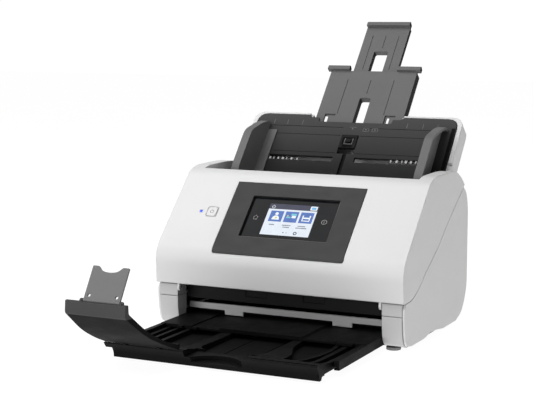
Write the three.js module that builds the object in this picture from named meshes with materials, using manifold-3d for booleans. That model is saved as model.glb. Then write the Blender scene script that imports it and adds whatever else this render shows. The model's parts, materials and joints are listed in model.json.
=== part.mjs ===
// Sheet fed document scanner: a housing whose front cover swings open over the paper path, an input tray
// with edge guides and two pull-out extensions, and an output tray with an extension, a flap and a
// stopper.
// Millimetres, +X to the right seen from the front, +Y to the back, +Z up, standing on z = 0.
import * as THREE from 'three'
import { mergeVertices } from 'three/addons/utils/BufferGeometryUtils.js'
import Module from 'manifold-3d'

const wasm = await Module()
wasm.setup()

// ---------------------------------------------------------------- driving dimensions
// the middle of the footprint lies this far in front of the housing's middle
const FOOTPRINT_SHIFT = 48.03
const GAP = 0.35 // clearance between pieces that touch
const HALF_WIDTH = 148 // housing, outside
const WALL = 2.6 // housing wall
const FRONT_Y = -108
const REAR_Y = 106
const CHEEK_INNER = 132 // inner face of the two cheeks beside the input tray
const COLUMN_INNER = 122.5 // inner face of the two front columns
const FOOT_HEIGHT = 3

const SLOPE_ANGLE = THREE.MathUtils.degToRad(45) // control panel slope
const SLOPE_LEVEL = 201 // the slope lies on z = y + SLOPE_LEVEL
const BEZEL_HALF = 78.5
const BEZEL_TOP_Z = 164
const BEZEL_BOTTOM_Z = 92.5
const BEND_REACH = 15 // the bend between the front wall and the slope takes this much of each
const WINDOW_HALF = 53
const WINDOW_LOW_Y = -90.5
const WINDOW_HIGH_Y = -50
const BEZEL_THICK = 2.4

const COVER_PIVOT = { y: -101.5, z: 50 }

// paper path through the machine, from the input tray's foot to the exit
const PATH = [[44, 137.5], [10, 106.5], [-50, 56], [-78, 32.5]]
const PATH_CLEARANCE = 1.3
const PATH_HALF = 120

// input tray frame: its foot and its tilt; x across, y up the tray, z out of its face
const TRAY_FOOT = { y: 43.5, z: 139.5 }
const TRAY_TILT = THREE.MathUtils.degToRad(49)
const TRAY_LENGTH = 121
const TRAY_HALF = 129
const TRAY_SHELL_HALF = 135.5
const TRAY_PLATE = 3
const TRAY_DEPTH = 22
const SLOT_LOW = 53
const SLOT_HIGH = 60
const GUIDE_FACE = 110 // inner face of an edge guide from the middle
const GUIDE_HEIGHT = 38
const RACK_PITCH_RADIUS = 6

// output tray
const TRAY_RAIL_OUTER = 122
const TRAY_RAIL_INNER = 116.5
const DECK_FRONT = -143
const RAIL_FRONT = -217
const RAIL_LOW = 6.8
const DECK_TOP = 17.8
const DECK_VALLEY = 15.8
const RAIL_TOP = 16.6
const OUTPUT_REAR = -50
const EXT_HALF = 114
const EXT_LIP_LEFT = -123.5
const EXT_LIP_RIGHT = 115.8
const EXT_LIP_NARROW = 116 // behind its front edge the lip fits between the rails
const EXT_REAR = -100
const EXT_LIP_FRONT = -258
const EXT_LIP_TOP = 19.4
const FLAP_HINGE = { y: -256.5, z: 23.2 }
const FLAP_LEFT = -121
const FLAP_RIGHT = -36
const STOPPER_HINGE = { y: -325.5, z: 77.5 }
const STOPPER_LEFT = -102.5
const STOPPER_RIGHT = -61

// shafts under and over the paper path
const FEED = { y: 4, r: 9 }
const EXIT = { y: -66, r: 7 }
const SHAFT_R = 3
const ROLLER_WIDTH = 18
const ROLLER_OFFSET = 30
const FRAME_INNER = 128.6
const FRAME_OUTER = 131.2

// ---------------------------------------------------------------- materials
function plastic(colour, roughness = 0.5) {
  return new THREE.MeshStandardMaterial({ color: colour, roughness, metalness: 0 })
}
function metal(colour, roughness = 0.35) {
  return new THREE.MeshStandardMaterial({ color: colour, roughness, metalness: 1 })
}
const WHITE = plastic(0xf1f1f0, 0.45)
const CHARCOAL = plastic(0x4b4b4b, 0.55)
const GREY = plastic(0x707070, 0.55)
const BLACK = plastic(0x242424, 0.5)
const INNER_BLACK = plastic(0x191919, 0.6)
const RUBBER = plastic(0x2b2b2b, 0.9)
const GLASS = plastic(0x151719, 0.1)
const STEEL = metal(0xb9bcc0)
const BOARD = plastic(0x1f5a37, 0.6)
const BLUE = plastic(0x3355ff, 0.3)

// ---------------------------------------------------------------- geometry helpers
function outline(points) {
  // a closed shape through points [u, v, radius]; a radius rounds that corner as far as its sides allow
  const shape = new THREE.Shape()
  points.forEach(([u, v, radius = 0], i) => {
    const corner = new THREE.Vector2(u, v)
    const arms = [points[(i + points.length - 1) % points.length], points[(i + 1) % points.length]]
      .map(([a, b]) => new THREE.Vector2(a - u, b - v))
    const reach = Math.min(radius, ...arms.map((arm) => arm.length() * 0.48))
    const [start, end] = arms.map((arm) => arm.normalize().multiplyScalar(reach).add(corner))
    if (i === 0) shape.moveTo(start.x, start.y)
    else shape.lineTo(start.x, start.y)
    if (radius > 0) shape.quadraticCurveTo(u, v, end.x, end.y)
  })
  shape.closePath()
  return shape
}
function place(geometry, x, y, z) {
  return geometry.translate(x, y, z)
}
function alongX(points, x0, x1, segments = 4) {
  // an outline in (y, z) carried from x0 to x1
  const shape = points instanceof THREE.Shape ? points : outline(points)
  const geometry = new THREE.ExtrudeGeometry(shape, { depth: x1 - x0, bevelEnabled: false,
    curveSegments: segments })
  const turn = new THREE.Matrix4().makeBasis(
    new THREE.Vector3(0, 1, 0), new THREE.Vector3(0, 0, 1), new THREE.Vector3(1, 0, 0))
  return place(geometry.applyMatrix4(turn), x0, 0, 0)
}
function alongZ(points, z0, z1, segments = 4) {
  // an outline in (x, y) carried from z0 to z1
  const shape = points instanceof THREE.Shape ? points : outline(points)
  const geometry = new THREE.ExtrudeGeometry(shape, { depth: z1 - z0, bevelEnabled: false,
    curveSegments: segments })
  return place(geometry, 0, 0, z0)
}
function alongY(points, y0, y1) {
  // an outline in (x, z) pushed along y
  const geometry = new THREE.ExtrudeGeometry(outline(points), { depth: y1 - y0, bevelEnabled: false })
  return geometry.rotateX(Math.PI / 2).translate(0, y1, 0)
}
function box(x0, x1, y0, y1, z0, z1) {
  const geometry = new THREE.BoxGeometry(x1 - x0, y1 - y0, z1 - z0)
  return place(geometry, (x0 + x1) / 2, (y0 + y1) / 2, (z0 + z1) / 2)
}
function rodX(y, z, radius, x0, x1, sides = 20) {
  const geometry = new THREE.CylinderGeometry(radius, radius, x1 - x0, sides)
  return place(geometry.rotateZ(Math.PI / 2), (x0 + x1) / 2, y, z)
}
function rodY(x, z, radius, y0, y1, sides = 20) {
  return place(new THREE.CylinderGeometry(radius, radius, y1 - y0, sides), x, (y0 + y1) / 2, z)
}
function rodZ(x, y, radius, z0, z1, sides = 20) {
  const geometry = new THREE.CylinderGeometry(radius, radius, z1 - z0, sides)
  return place(geometry.rotateX(Math.PI / 2), x, y, (z0 + z1) / 2)
}
function toSolid(geometry) {
  const bare = geometry.clone()
  bare.deleteAttribute('normal')
  bare.deleteAttribute('uv')
  const merged = mergeVertices(bare, 1e-4)
  return new wasm.Manifold(new wasm.Mesh({
    numProp: 3,
    vertProperties: new Float32Array(merged.attributes.position.array),
    triVerts: new Uint32Array(merged.index.array)
  }))
}
function toGeometry(solid) {
  const mesh = solid.getMesh()
  const geometry = new THREE.BufferGeometry()
  geometry.setAttribute('position', new THREE.BufferAttribute(new Float32Array(mesh.vertProperties), 3))
  geometry.setIndex(new THREE.BufferAttribute(new Uint32Array(mesh.triVerts), 1))
  return geometry
}
function join(...geometries) {
  return toGeometry(geometries.map(toSolid).reduce((a, b) => a.add(b)))
}
function cut(geometry, ...tools) {
  return toGeometry(tools.map(toSolid).reduce((a, b) => a.subtract(b), toSolid(geometry)))
}
function piece(parent, name, geometry, material) {
  const mesh = new THREE.Mesh(geometry, material)
  mesh.name = name
  parent.add(mesh)
  return mesh
}
const SIDES = [['left', -1], ['right', 1]]
function span(sign, a, b) {
  // the x range from a to b out from the middle, on the side of that sign
  return sign > 0 ? [a, b] : [-b, -a]
}
function pathZ(y) {
  const i = PATH.findIndex((p, k) => k > 0 && y >= p[0])
  const k = i < 0 ? PATH.length - 1 : i
  const [y0, z0] = PATH[k - 1]
  const [y1, z1] = PATH[k]
  return z0 + (z1 - z0) * (y - y0) / (y1 - y0)
}
function pathAngle(y) {
  return Math.atan2(pathZ(y + 1) - pathZ(y - 1), 2)
}
function belowPath(y, depth) {
  // the point at a depth square to the path, under it (over it if the depth is negative)
  const angle = pathAngle(y)
  return { y: y + depth * Math.sin(angle), z: pathZ(y) - depth * Math.cos(angle) }
}
function pathBand(low, high, yBack, yFront) {
  // an outline between two offsets square to the paper path
  const stations = [yBack, ...PATH.map((p) => p[0]).filter((y) => y < yBack - 1 && y > yFront + 1),
    yFront]
  const line = (offset) => stations.map((y) => {
    const p = belowPath(y, offset)
    return [p.y, p.z]
  })
  return [...line(low), ...line(high).reverse()]
}

const scanner = new THREE.Group()
const housing = new THREE.Group()
scanner.add(housing)

// ---------------------------------------------------------------- housing: pan, panels, columns, back
const WELL_HALF = 124
const WELL_TOP = 21
const PAN_LOW = FOOT_HEIGHT + GAP
const PAN_TOP = 6
const basePan = join(
  box(-143, 143, -83, 82, PAN_LOW, PAN_TOP),
  box(-WELL_HALF - 1.6, -WELL_HALF, -83, 62, PAN_TOP - 1, WELL_TOP),
  box(WELL_HALF, WELL_HALF + 1.6, -83, 62, PAN_TOP - 1, WELL_TOP),
  box(-WELL_HALF - 1.6, WELL_HALF + 1.6, -70, 62, WELL_TOP - 2, WELL_TOP)
)
piece(housing, 'base_pan', basePan, INNER_BLACK)

const SEAM = [[-96, 54], [-84, 54.2, 8], [-64, 61, 14], [-40, 76.8], [0.9, 99.4], [27, 118.1],
  [88, 156.6]]
const BACK = [[98, 150, 5], [104, 138, 8], [REAR_Y, 122, 10], [REAR_Y, 38, 10], [97, 20, 10], [86, 9, 10]]
const sideProfile = [
  ...SEAM.map(([y, z, r]) => [y, z - GAP, r]),
  ...BACK,
  [68, PAN_LOW], [22, PAN_LOW], [0, 6.4, 6], [-22, 7.6, 6], [-38, 4.8, 6],
  [-84, 5, 10], [-97.5, 8, 6], [-101.8, 22, 12], [-103.6, 40], [-103.6, 48], [-100, 53.4, 2]
]
for (const [side, sign] of SIDES) {
  const [x0, x1] = span(sign, HALF_WIDTH - WALL, HALF_WIDTH)
  piece(housing, `${side}_side_panel`, alongX(sideProfile, x0, x1, 8), WHITE)
}

const columnProfile = [
  [-104, 39.4], [-103.8, 28, 12], [-101.8, 15, 8], [-97, 7, 5], [-88, 5], [-84, 5], [-84, 39.4]
]
const capProfile = [[-104, 40], [-104, 53.4, 1.4], [-84, 53.4], [-84, 40]]
for (const [side, sign] of SIDES) {
  const [x0, x1] = span(sign, COLUMN_INNER, HALF_WIDTH - WALL - GAP)
  piece(housing, `${side}_front_column`, alongX(columnProfile, x0, x1, 8), WHITE)
  const pivotHole = rodX(COVER_PIVOT.y, COVER_PIVOT.z, 1.6 + GAP,
    ...span(sign, COLUMN_INNER - 1, COLUMN_INNER + 14))
  piece(housing, `${side}_hinge_block`, cut(alongX(capProfile, x0, x1), pivotHole), WHITE)
  piece(housing, `${side}_cover_hinge_pin`,
    rodX(COVER_PIVOT.y, COVER_PIVOT.z, 1.6, ...span(sign, COLUMN_INNER - 3.6, COLUMN_INNER + 11), 16),
    STEEL)
}

const backSkin = (inset) => [
  [81.5, 149 - inset * 0.6], [88, 151 - inset, 3], [98 - inset * 0.7, 148 - inset, 5],
  [104 - inset, 138, 8], [REAR_Y - inset, 122, 10], [REAR_Y - inset, 38, 10],
  [97 - inset * 0.8, 20 + inset * 0.5, 10], [86, 9 + inset, 10], [70, 6.4 + inset]
]
const BACK_HALF = HALF_WIDTH - WALL - GAP
const INLETS = {
  dc: { x: -96, z: 52, halfWidth: 6, halfHeight: 6 },
  usb: { x: -64, z: 52, halfWidth: 6.4, halfHeight: 5.8 },
  lan: { x: -36, z: 53, halfWidth: 8.2, halfHeight: 7.2 }
}
function inletHole({ x, z, halfWidth, halfHeight }) {
  return box(x - halfWidth - GAP, x + halfWidth + GAP, 90, REAR_Y + 4, z - halfHeight - GAP,
    z + halfHeight + GAP)
}
const SCREWS = [[-132, 90], [132, 90]]
const screwHoles = SCREWS.map(([x, z]) => rodY(x, z, 3.2, REAR_Y - 1.4, REAR_Y + 2, 16))
const ventSlots = Array.from({ length: 9 }, (_, i) => box(40 + i * 7, 43 + i * 7, 95, REAR_Y + 2, 44, 74))
const rearCover = cut(
  alongX([...backSkin(0), ...backSkin(WALL).reverse()], -BACK_HALF, BACK_HALF, 7),
  ...Object.values(INLETS).map(inletHole), ...screwHoles, ...ventSlots)
piece(housing, 'rear_cover', rearCover, WHITE)
SCREWS.forEach(([x, z], i) => {
  const head = rodY(x, z, 2.8, REAR_Y - 1.1, REAR_Y - 0.1, 16)
  const slot = box(x - 2.2, x + 2.2, REAR_Y - 0.6, REAR_Y + 1, z - 0.4, z + 0.4)
  piece(housing, `housing_screw_${i + 1}`, cut(head, slot), STEEL)
})

const FOOT_PLACES = [[-128, -82], [128, -82], [-118, 40], [118, 40]]
FOOT_PLACES.forEach(([x, y], i) => {
  piece(housing, `rubber_foot_${i + 1}`, rodZ(x, y, 8, 0, FOOT_HEIGHT, 24), RUBBER)
})

// exit lip under the paper slot, with two tongues that reach down over the output tray's valleys
const LIP_Y = -74
const LIP_LOW = 22
const LIP_TOP = 28.6
const TONGUE_LOW = 16.9
const TONGUES = [-66, 66]
const tongueProfile = [
  [LIP_Y - 2.4, LIP_LOW + 1], [LIP_Y - 1.6, TONGUE_LOW], [LIP_Y + 1, TONGUE_LOW], [LIP_Y + 1, LIP_LOW + 1]
]
const tongue = (x) => alongX(tongueProfile, x - 11.5, x + 11.5)
const exitLip = join(
  alongX([[LIP_Y - 3, LIP_TOP], [LIP_Y - 2.2, LIP_LOW], [LIP_Y + 1, LIP_LOW], [LIP_Y + 1, LIP_TOP - 2.4],
    [LIP_Y - 1, LIP_TOP + 0.6]], -COLUMN_INNER + 0.6, COLUMN_INNER - 0.6),
  ...TONGUES.map(tongue))
piece(housing, 'exit_lip', exitLip, WHITE)

// ---------------------------------------------------------------- paper path inside the housing
function acrossPath(y, halfLength, low, high) {
  // a section square to the path at y, between two depths under it
  const tilt = pathAngle(y)
  const corner = (depth, step) => {
    const p = belowPath(y, depth)
    return [p.y + Math.cos(tilt) * step, p.z + Math.sin(tilt) * step]
  }
  return [corner(low, -halfLength), corner(low, halfLength), corner(high, halfLength),
    corner(high, -halfLength)]
}
function rollerWindows(y, halfLength) {
  // openings in a guide plate where the two rollers reach through it
  const half = ROLLER_WIDTH / 2 + 1.5
  return [-ROLLER_OFFSET, ROLLER_OFFSET].map((x) =>
    alongX(acrossPath(y, halfLength, -7, 7), x - half, x + half))
}
const GLASS_Y = -32
const GLASS_HALF_LENGTH = 11
const GLASS_HALF_WIDTH = 112
const GUIDE_THICK = 2
const GUIDE_BACK = PATH[0][0] - 1
const GUIDE_FRONT = -70
const EXIT_SKIRT_Y = -84.5
const glassOpening = alongX(acrossPath(GLASS_Y, GLASS_HALF_LENGTH + GAP, -8, 8), -GLASS_HALF_WIDTH - GAP,
  GLASS_HALF_WIDTH + GAP)
const lowerGuide = cut(
  alongX(pathBand(PATH_CLEARANCE, PATH_CLEARANCE + GUIDE_THICK, GUIDE_BACK, -57), -PATH_HALF, PATH_HALF),
  ...rollerWindows(FEED.y, 8), glassOpening)
piece(housing, 'lower_paper_guide', lowerGuide, INNER_BLACK)
piece(housing, 'lower_scan_glass',
  alongX(acrossPath(GLASS_Y, GLASS_HALF_LENGTH, PATH_CLEARANCE, PATH_CLEARANCE + GUIDE_THICK),
    -GLASS_HALF_WIDTH, GLASS_HALF_WIDTH), GLASS)
piece(housing, 'lower_sensor_bar',
  alongX(acrossPath(GLASS_Y, 9, PATH_CLEARANCE + GUIDE_THICK + GAP, PATH_CLEARANCE + 14), -116, 116),
    BLACK)

const feedShaft = { ...belowPath(FEED.y, FEED.r), r: FEED.r }
const exitShaft = { ...belowPath(EXIT.y, EXIT.r), r: EXIT.r }
const MOTOR = { y: 22, z: 50 }
const shaftHoles = [feedShaft, exitShaft].map(({ y, z }) => rodX(y, z, SHAFT_R + GAP, -150, 150))
const frameProfile = [
  [-72, WELL_TOP + 1], [62, WELL_TOP + 1], [84, 40], [84, 120, 6], [52, 128, 4],
  ...[40, 10, -50, -72].map((y) => {
    const p = belowPath(y, PATH_CLEARANCE + 1)
    return [p.y, p.z]
  })
]
for (const [side, sign] of SIDES) {
  const plate = alongX(frameProfile, ...span(sign, FRAME_INNER, FRAME_OUTER))
  const motorHole = rodX(MOTOR.y, MOTOR.z, 4, -150, -100)
  piece(housing, `${side}_side_frame`, cut(plate, ...shaftHoles, ...(sign < 0 ? [motorHole] : [])), STEEL)
}

const JOURNAL = 0.03
function rollerPair({ y, z, r }) {
  // two grooved tyres on one sleeve
  const tyres = [-ROLLER_OFFSET, ROLLER_OFFSET].map((x) => {
    const grooves = [-3, 3].map((step) => cut(rodX(y, z, r + 1, x + step - 0.5, x + step + 0.5, 32),
      rodX(y, z, r - 0.8, x + step - 1, x + step + 1, 32)))
    return cut(rodX(y, z, r, x - ROLLER_WIDTH / 2, x + ROLLER_WIDTH / 2, 32), ...grooves)
  })
  const sleeve = rodX(y, z, SHAFT_R + 1.6, -ROLLER_OFFSET - 2, ROLLER_OFFSET + 2, 24)
  return cut(join(...tyres, sleeve), rodX(y, z, SHAFT_R + JOURNAL, -70, 70, 24))
}
const PULLEY_R = 7
const BELT_LEFT = -141.5
const BELT_RIGHT = -136.5
function pulley({ y, z }, boreRadius) {
  const rim = rodX(y, z, PULLEY_R, BELT_LEFT, BELT_RIGHT, 28)
  const flange = rodX(y, z, PULLEY_R + 1.6, BELT_LEFT - 1.3, BELT_LEFT, 28)
  const hub = rodX(y, z, SHAFT_R + 2, BELT_RIGHT, -FRAME_OUTER - GAP, 20)
  return cut(join(rim, flange, hub), rodX(y, z, boreRadius, -150, -120, 24))
}
piece(housing, 'feed_shaft', rodX(feedShaft.y, feedShaft.z, SHAFT_R, -143, 134, 24), STEEL)
piece(housing, 'feed_roller', rollerPair(feedShaft), RUBBER)
piece(housing, 'feed_pulley', pulley(feedShaft, SHAFT_R + JOURNAL), BLACK)
piece(housing, 'exit_shaft', rodX(exitShaft.y, exitShaft.z, SHAFT_R, -143, 134, 24), STEEL)
piece(housing, 'exit_roller', rollerPair(exitShaft), RUBBER)
piece(housing, 'exit_pulley', pulley(exitShaft, SHAFT_R + JOURNAL), BLACK)

const motorCan = rodX(MOTOR.y, MOTOR.z, 17, -127.9, -94, 36)
const motorFlange = rodX(MOTOR.y, MOTOR.z, 19.5, -94.5, -92, 36)
piece(housing, 'drive_motor', join(motorCan, motorFlange), STEEL)
const motorShaft = rodX(MOTOR.y, MOTOR.z, SHAFT_R, -142, -128.2, 20)
piece(housing, 'motor_pulley', join(pulley(MOTOR, 0.8), motorShaft), BLACK)

function beltLoop(radius) {
  // the outline of a belt stretched round the three pulleys, anticlockwise seen from the right
  const centres = [exitShaft, MOTOR, feedShaft]
  const STEPS = 10
  return centres.flatMap((centre, i) => {
    const next = centres[(i + 1) % 3]
    const before = centres[(i + 2) % 3]
    const angleIn = Math.atan2(centre.z - before.z, centre.y - before.y) - Math.PI / 2
    const angleOut = Math.atan2(next.z - centre.z, next.y - centre.y) - Math.PI / 2
    const sweep = (angleOut - angleIn + 4 * Math.PI) % (2 * Math.PI)
    return Array.from({ length: STEPS + 1 }, (_, k) => {
      const a = angleIn + sweep * k / STEPS
      return [centre.y + radius * Math.cos(a), centre.z + radius * Math.sin(a)]
    })
  })
}
const belt = cut(alongX(beltLoop(PULLEY_R + GAP + 1.3), BELT_LEFT + GAP, BELT_RIGHT),
  alongX(beltLoop(PULLEY_R + GAP), BELT_LEFT - 2, BELT_RIGHT + 2))
piece(housing, 'drive_belt', belt, RUBBER)

// ---------------------------------------------------------------- electronics at the back
const BOARD_Y = 92
piece(housing, 'main_board', box(-112, 112, BOARD_Y - 1.6, BOARD_Y, 32, 112), BOARD)
function socketBody({ x, z, halfWidth, halfHeight }) {
  return box(x - halfWidth, x + halfWidth, BOARD_Y + GAP, REAR_Y - 0.4, z - halfHeight, z + halfHeight)
}
function socketMouth({ x, z }, halfWidth, halfHeight) {
  return box(x - halfWidth, x + halfWidth, BOARD_Y + 4, REAR_Y + 2, z - halfHeight, z + halfHeight)
}
const dcMouth = cut(rodY(INLETS.dc.x, INLETS.dc.z, 4.4, BOARD_Y + 4, REAR_Y + 2, 24),
  rodY(INLETS.dc.x, INLETS.dc.z, 1.2, BOARD_Y + 2, REAR_Y - 2, 12))
piece(housing, 'dc_inlet', cut(socketBody(INLETS.dc), dcMouth), INNER_BLACK)
const usbTongue = box(INLETS.usb.x - 3.2, INLETS.usb.x + 3.2, BOARD_Y + 2, REAR_Y - 2,
  INLETS.usb.z - 1.6, INLETS.usb.z + 1.6)
piece(housing, 'usb_socket', join(cut(socketBody(INLETS.usb), socketMouth(INLETS.usb, 5.4, 4.8)),
  usbTongue), STEEL)
const lanKey = box(INLETS.lan.x - 2.4, INLETS.lan.x + 2.4, BOARD_Y + 4, REAR_Y + 2, INLETS.lan.z - 6.4,
  INLETS.lan.z)
piece(housing, 'lan_socket', cut(socketBody(INLETS.lan), socketMouth(INLETS.lan, 6.2, 4.6), lanKey),
  STEEL)

// ---------------------------------------------------------------- cover, swinging on the hinge pins
const cover = new THREE.Group()
scanner.add(cover)
const slopeZ = (y) => y + SLOPE_LEVEL
const CREST = [[-33, slopeZ(-33), 8], [-14, 174, 8], [-5, 172.2, 4]]
const HOPPER_FOOT = [27, 134]
const BEND_Y = FRONT_Y - 1.2
const coverFront = [[FRONT_Y + 1, 54.4, 1], [BEND_Y, slopeZ(BEND_Y), BEND_REACH]]
const coverSeam = [...SEAM].reverse().map(([y, z, r]) => [y, z + GAP, r])
const coverSide = [
  ...coverFront, [-28, 172.6, 6], [-12, 178, 10], [36, 178.6, 20], [62, 177, 12], [82, 166, 8],
  [91, 158.6], ...coverSeam.slice(0, -1), [-97.6, 54.4, 2]
]
const coverOuter = alongX(coverSide, -HALF_WIDTH, HALF_WIDTH, 9)
const abovePaperSlot = alongX([[-22, 190], [-22, 176.4], ...CREST.slice(1), [-2, 168], HOPPER_FOOT,
  [HOPPER_FOOT[0] - 3.5, HOPPER_FOOT[1] - 1], [HOPPER_FOOT[0] - 3.5, 90], [110, 90], [110, 190]],
  -CHEEK_INNER, CHEEK_INNER)
const coverInside = alongX([
  [FRONT_Y + 3.6, 40], [BEND_Y + WALL, slopeZ(BEND_Y) - 1.2, BEND_REACH - 1], [-33, slopeZ(-33) - 4],
  [-16, 170.6, 6], [-6, 168.6, 3], [-4, 165.6], [HOPPER_FOOT[0] - 3.4, 134], [HOPPER_FOOT[0] - 3.4, 40]
], -HALF_WIDTH + WALL, HALF_WIDTH - WALL)
const cheekInside = SIDES.map(([, sign]) => alongX([
  [-40, 40], [-40, 155], [-26, 169], [-10, 174.6, 6], [36, 175.4, 20], [60, 174, 10], [79.5, 164, 6],
  [88, 155], [88, 40]
], ...span(sign, CHEEK_INNER + 2.4, HALF_WIDTH - WALL)))
const BEZEL_CORNER = 2.6
function bezelCorner(sign, half, low) {
  // the waste outside one rounded lower corner of the panel
  const waste = box(...span(sign, half - BEZEL_CORNER, half + 1), BEND_Y - 20, BEND_Y + 30, low - 1,
    low + BEZEL_CORNER)
  return cut(waste, rodY(sign * (half - BEZEL_CORNER), low + BEZEL_CORNER, BEZEL_CORNER, BEND_Y - 21,
    BEND_Y + 31, 24))
}
function bezelBand(depthOut, depthIn, grow = 0) {
  // the panel that wraps over the bend and up the slope, between two depths out of and into the surface
  const k = Math.SQRT1_2
  const top = BEZEL_TOP_Z + grow
  const line = (depth) => [
    [BEND_Y + depth, 60],
    [BEND_Y + depth, slopeZ(BEND_Y) - depth * (Math.SQRT2 - 1), BEND_REACH - depth * 0.4],
    [top - SLOPE_LEVEL + depth * k, top - depth * k]
  ]
  const half = BEZEL_HALF + grow
  const band = alongX([...line(-depthOut), ...line(depthIn).reverse()], -half, half, 6)
  const foot = box(-half - 1, half + 1, BEND_Y - 20, BEND_Y + 30, 50, BEZEL_BOTTOM_Z - grow)
  return cut(band, foot, ...SIDES.map(([, sign]) => bezelCorner(sign, half, BEZEL_BOTTOM_Z - grow)))
}
const onSlope = (t) => ({ y: WINDOW_LOW_Y + t * Math.SQRT1_2,
  z: slopeZ(WINDOW_LOW_Y) + t * Math.SQRT1_2 })
function slopeBlock(x0, x1, t0, t1, low, high, radius = 0) {
  // a block on the slope: x across, t up it from the window's lower edge, low..high along its normal
  const corners = [[x0, t0, radius], [x1, t0, radius], [x1, t1, radius], [x0, t1, radius]]
  const block = alongZ(corners, low, high)
  const origin = onSlope(0)
  return block.rotateX(SLOPE_ANGLE).translate(0, origin.y, origin.z)
}
const POWER = { x: -97, t: 31, halfWidth: 5.8, halfLength: 6.2 }
const LED = { x: -111, t: 31, halfSize: 1.4 }
const LEVER = { x0: -129.5, x1: -106, y0: -11.6, y1: 8.5, travel: 5 }
const LEVER_STEM = { x0: LEVER.x0 + 9, x1: LEVER.x0 + 14, y0: 0, y1: 3 }
function slopePad({ x, t, halfWidth, halfLength }, grow, low, high, radius) {
  return slopeBlock(x - halfWidth - grow, x + halfWidth + grow, t - halfLength - grow,
    t + halfLength + grow, low, high, radius)
}
const ledPad = { ...LED, halfWidth: LED.halfSize, halfLength: LED.halfSize }
const leverNotch = box(LEVER.x0 - GAP, LEVER.x1 + GAP, LEVER.y0 - GAP, 20, 163.4, 180)
const stemSlot = box(LEVER_STEM.x0 - GAP, LEVER_STEM.x1 + GAP, LEVER_STEM.y0 - GAP,
  LEVER_STEM.y1 + LEVER.travel + GAP, 140, 170)
const ear = (sign) => {
  const disc = rodX(COVER_PIVOT.y, COVER_PIVOT.z, 4.4, ...span(sign, COLUMN_INNER - 3,
    COLUMN_INNER - 0.4), 28)
  const arm = alongX([[-106, 64], [-105.4, 51], [-98, 51], [-96, 64]],
    ...span(sign, COLUMN_INNER - 3, COLUMN_INNER - 0.4))
  return cut(join(disc, arm), rodX(COVER_PIVOT.y, COVER_PIVOT.z, 1.6 + GAP, ...span(sign, 100, 140), 16))
}
const windowOpening = (grow, low, high) =>
  slopeBlock(-WINDOW_HALF - grow, WINDOW_HALF + grow, -grow,
    (WINDOW_HIGH_Y - WINDOW_LOW_Y) * Math.SQRT2 + grow, low, high, 1.5)
const coverShell = join(
  cut(coverOuter, abovePaperSlot, coverInside, ...cheekInside, bezelBand(3, 8, GAP),
    slopePad(POWER, GAP, -8, 4, 2), slopePad(ledPad, GAP, -8, 4, 1.2), leverNotch, stemSlot),
  ...SIDES.map(([, sign]) => ear(sign)))
piece(cover, 'cover_shell', coverShell, WHITE)
const bezel = cut(bezelBand(0.3, BEZEL_THICK), windowOpening(0, -12, 6))
piece(cover, 'control_bezel', bezel, CHARCOAL)
piece(cover, 'touch_display', windowOpening(2.5, -BEZEL_THICK - GAP - 4, -BEZEL_THICK - GAP), GLASS)
piece(cover, 'power_button', slopePad(POWER, 0, -5, 0.5, 2), WHITE)
piece(cover, 'power_led', slopePad(ledPad, 0, -5, 0.2, 1.2), BLUE)
const leverProfile = [
  [LEVER.y0, 164], [LEVER.y0, 173.4, 1], [-4, 172, 3], [LEVER.y1 - 2, 171, 2], [LEVER.y1, 168, 1],
  [LEVER.y1 - 1.4, 164]
]
const leverCap = alongX(leverProfile, LEVER.x0, LEVER.x1)
const leverStem = box(LEVER_STEM.x0, LEVER_STEM.x1, LEVER_STEM.y0, LEVER_STEM.y1, 150, 166)
piece(cover, 'cover_lever', join(leverCap, leverStem), WHITE)

// the cover's half of the paper path
const exitSkirt = alongX([
  [EXIT_SKIRT_Y, 52], [EXIT_SKIRT_Y, 36], [EXIT_SKIRT_Y + 2.5, 34.6], [GUIDE_FRONT - 0.5, 41.5],
  [GUIDE_FRONT - 1.8, 43.4], [EXIT_SKIRT_Y + 2.3, 37.2], [EXIT_SKIRT_Y + 2, 52]
], -PATH_HALF, PATH_HALF)
const skirtTabs = [-34, 36].map((x) => box(x - 13, x + 13, EXIT_SKIRT_Y - 1, EXIT_SKIRT_Y + 0.8, 42, 60))
const upperBand = alongX(pathBand(-PATH_CLEARANCE - GUIDE_THICK, -PATH_CLEARANCE, 22, GUIDE_FRONT),
  -PATH_HALF, PATH_HALF)
const upperGuide = cut(join(upperBand, exitSkirt), ...skirtTabs,
  ...rollerWindows(FEED.y, 8), ...rollerWindows(EXIT.y, 9), glassOpening)
piece(cover, 'upper_paper_guide', upperGuide, INNER_BLACK)
piece(cover, 'upper_scan_glass',
  alongX(acrossPath(GLASS_Y, GLASS_HALF_LENGTH, -PATH_CLEARANCE - GUIDE_THICK, -PATH_CLEARANCE),
    -GLASS_HALF_WIDTH, GLASS_HALF_WIDTH), GLASS)
piece(cover, 'upper_sensor_bar',
  alongX(acrossPath(GLASS_Y, 9, -PATH_CLEARANCE - 14, -PATH_CLEARANCE - GUIDE_THICK - GAP), -116, 116),
  BLACK)
const separationShaft = { ...belowPath(FEED.y, -FEED.r - GAP), r: FEED.r }
const pinchShaft = { ...belowPath(EXIT.y, -EXIT.r - GAP), r: EXIT.r }
for (const [name, at] of [['separation_roller', separationShaft], ['exit_pinch_roller', pinchShaft]]) {
  const axle = rodX(at.y, at.z, SHAFT_R - 0.5, -112, 112, 20)
  const tyres = [-ROLLER_OFFSET, ROLLER_OFFSET].map((x) =>
    rodX(at.y, at.z, at.r, x - ROLLER_WIDTH / 2, x + ROLLER_WIDTH / 2, 32))
  piece(cover, name, join(axle, ...tyres), RUBBER)
}

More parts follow.
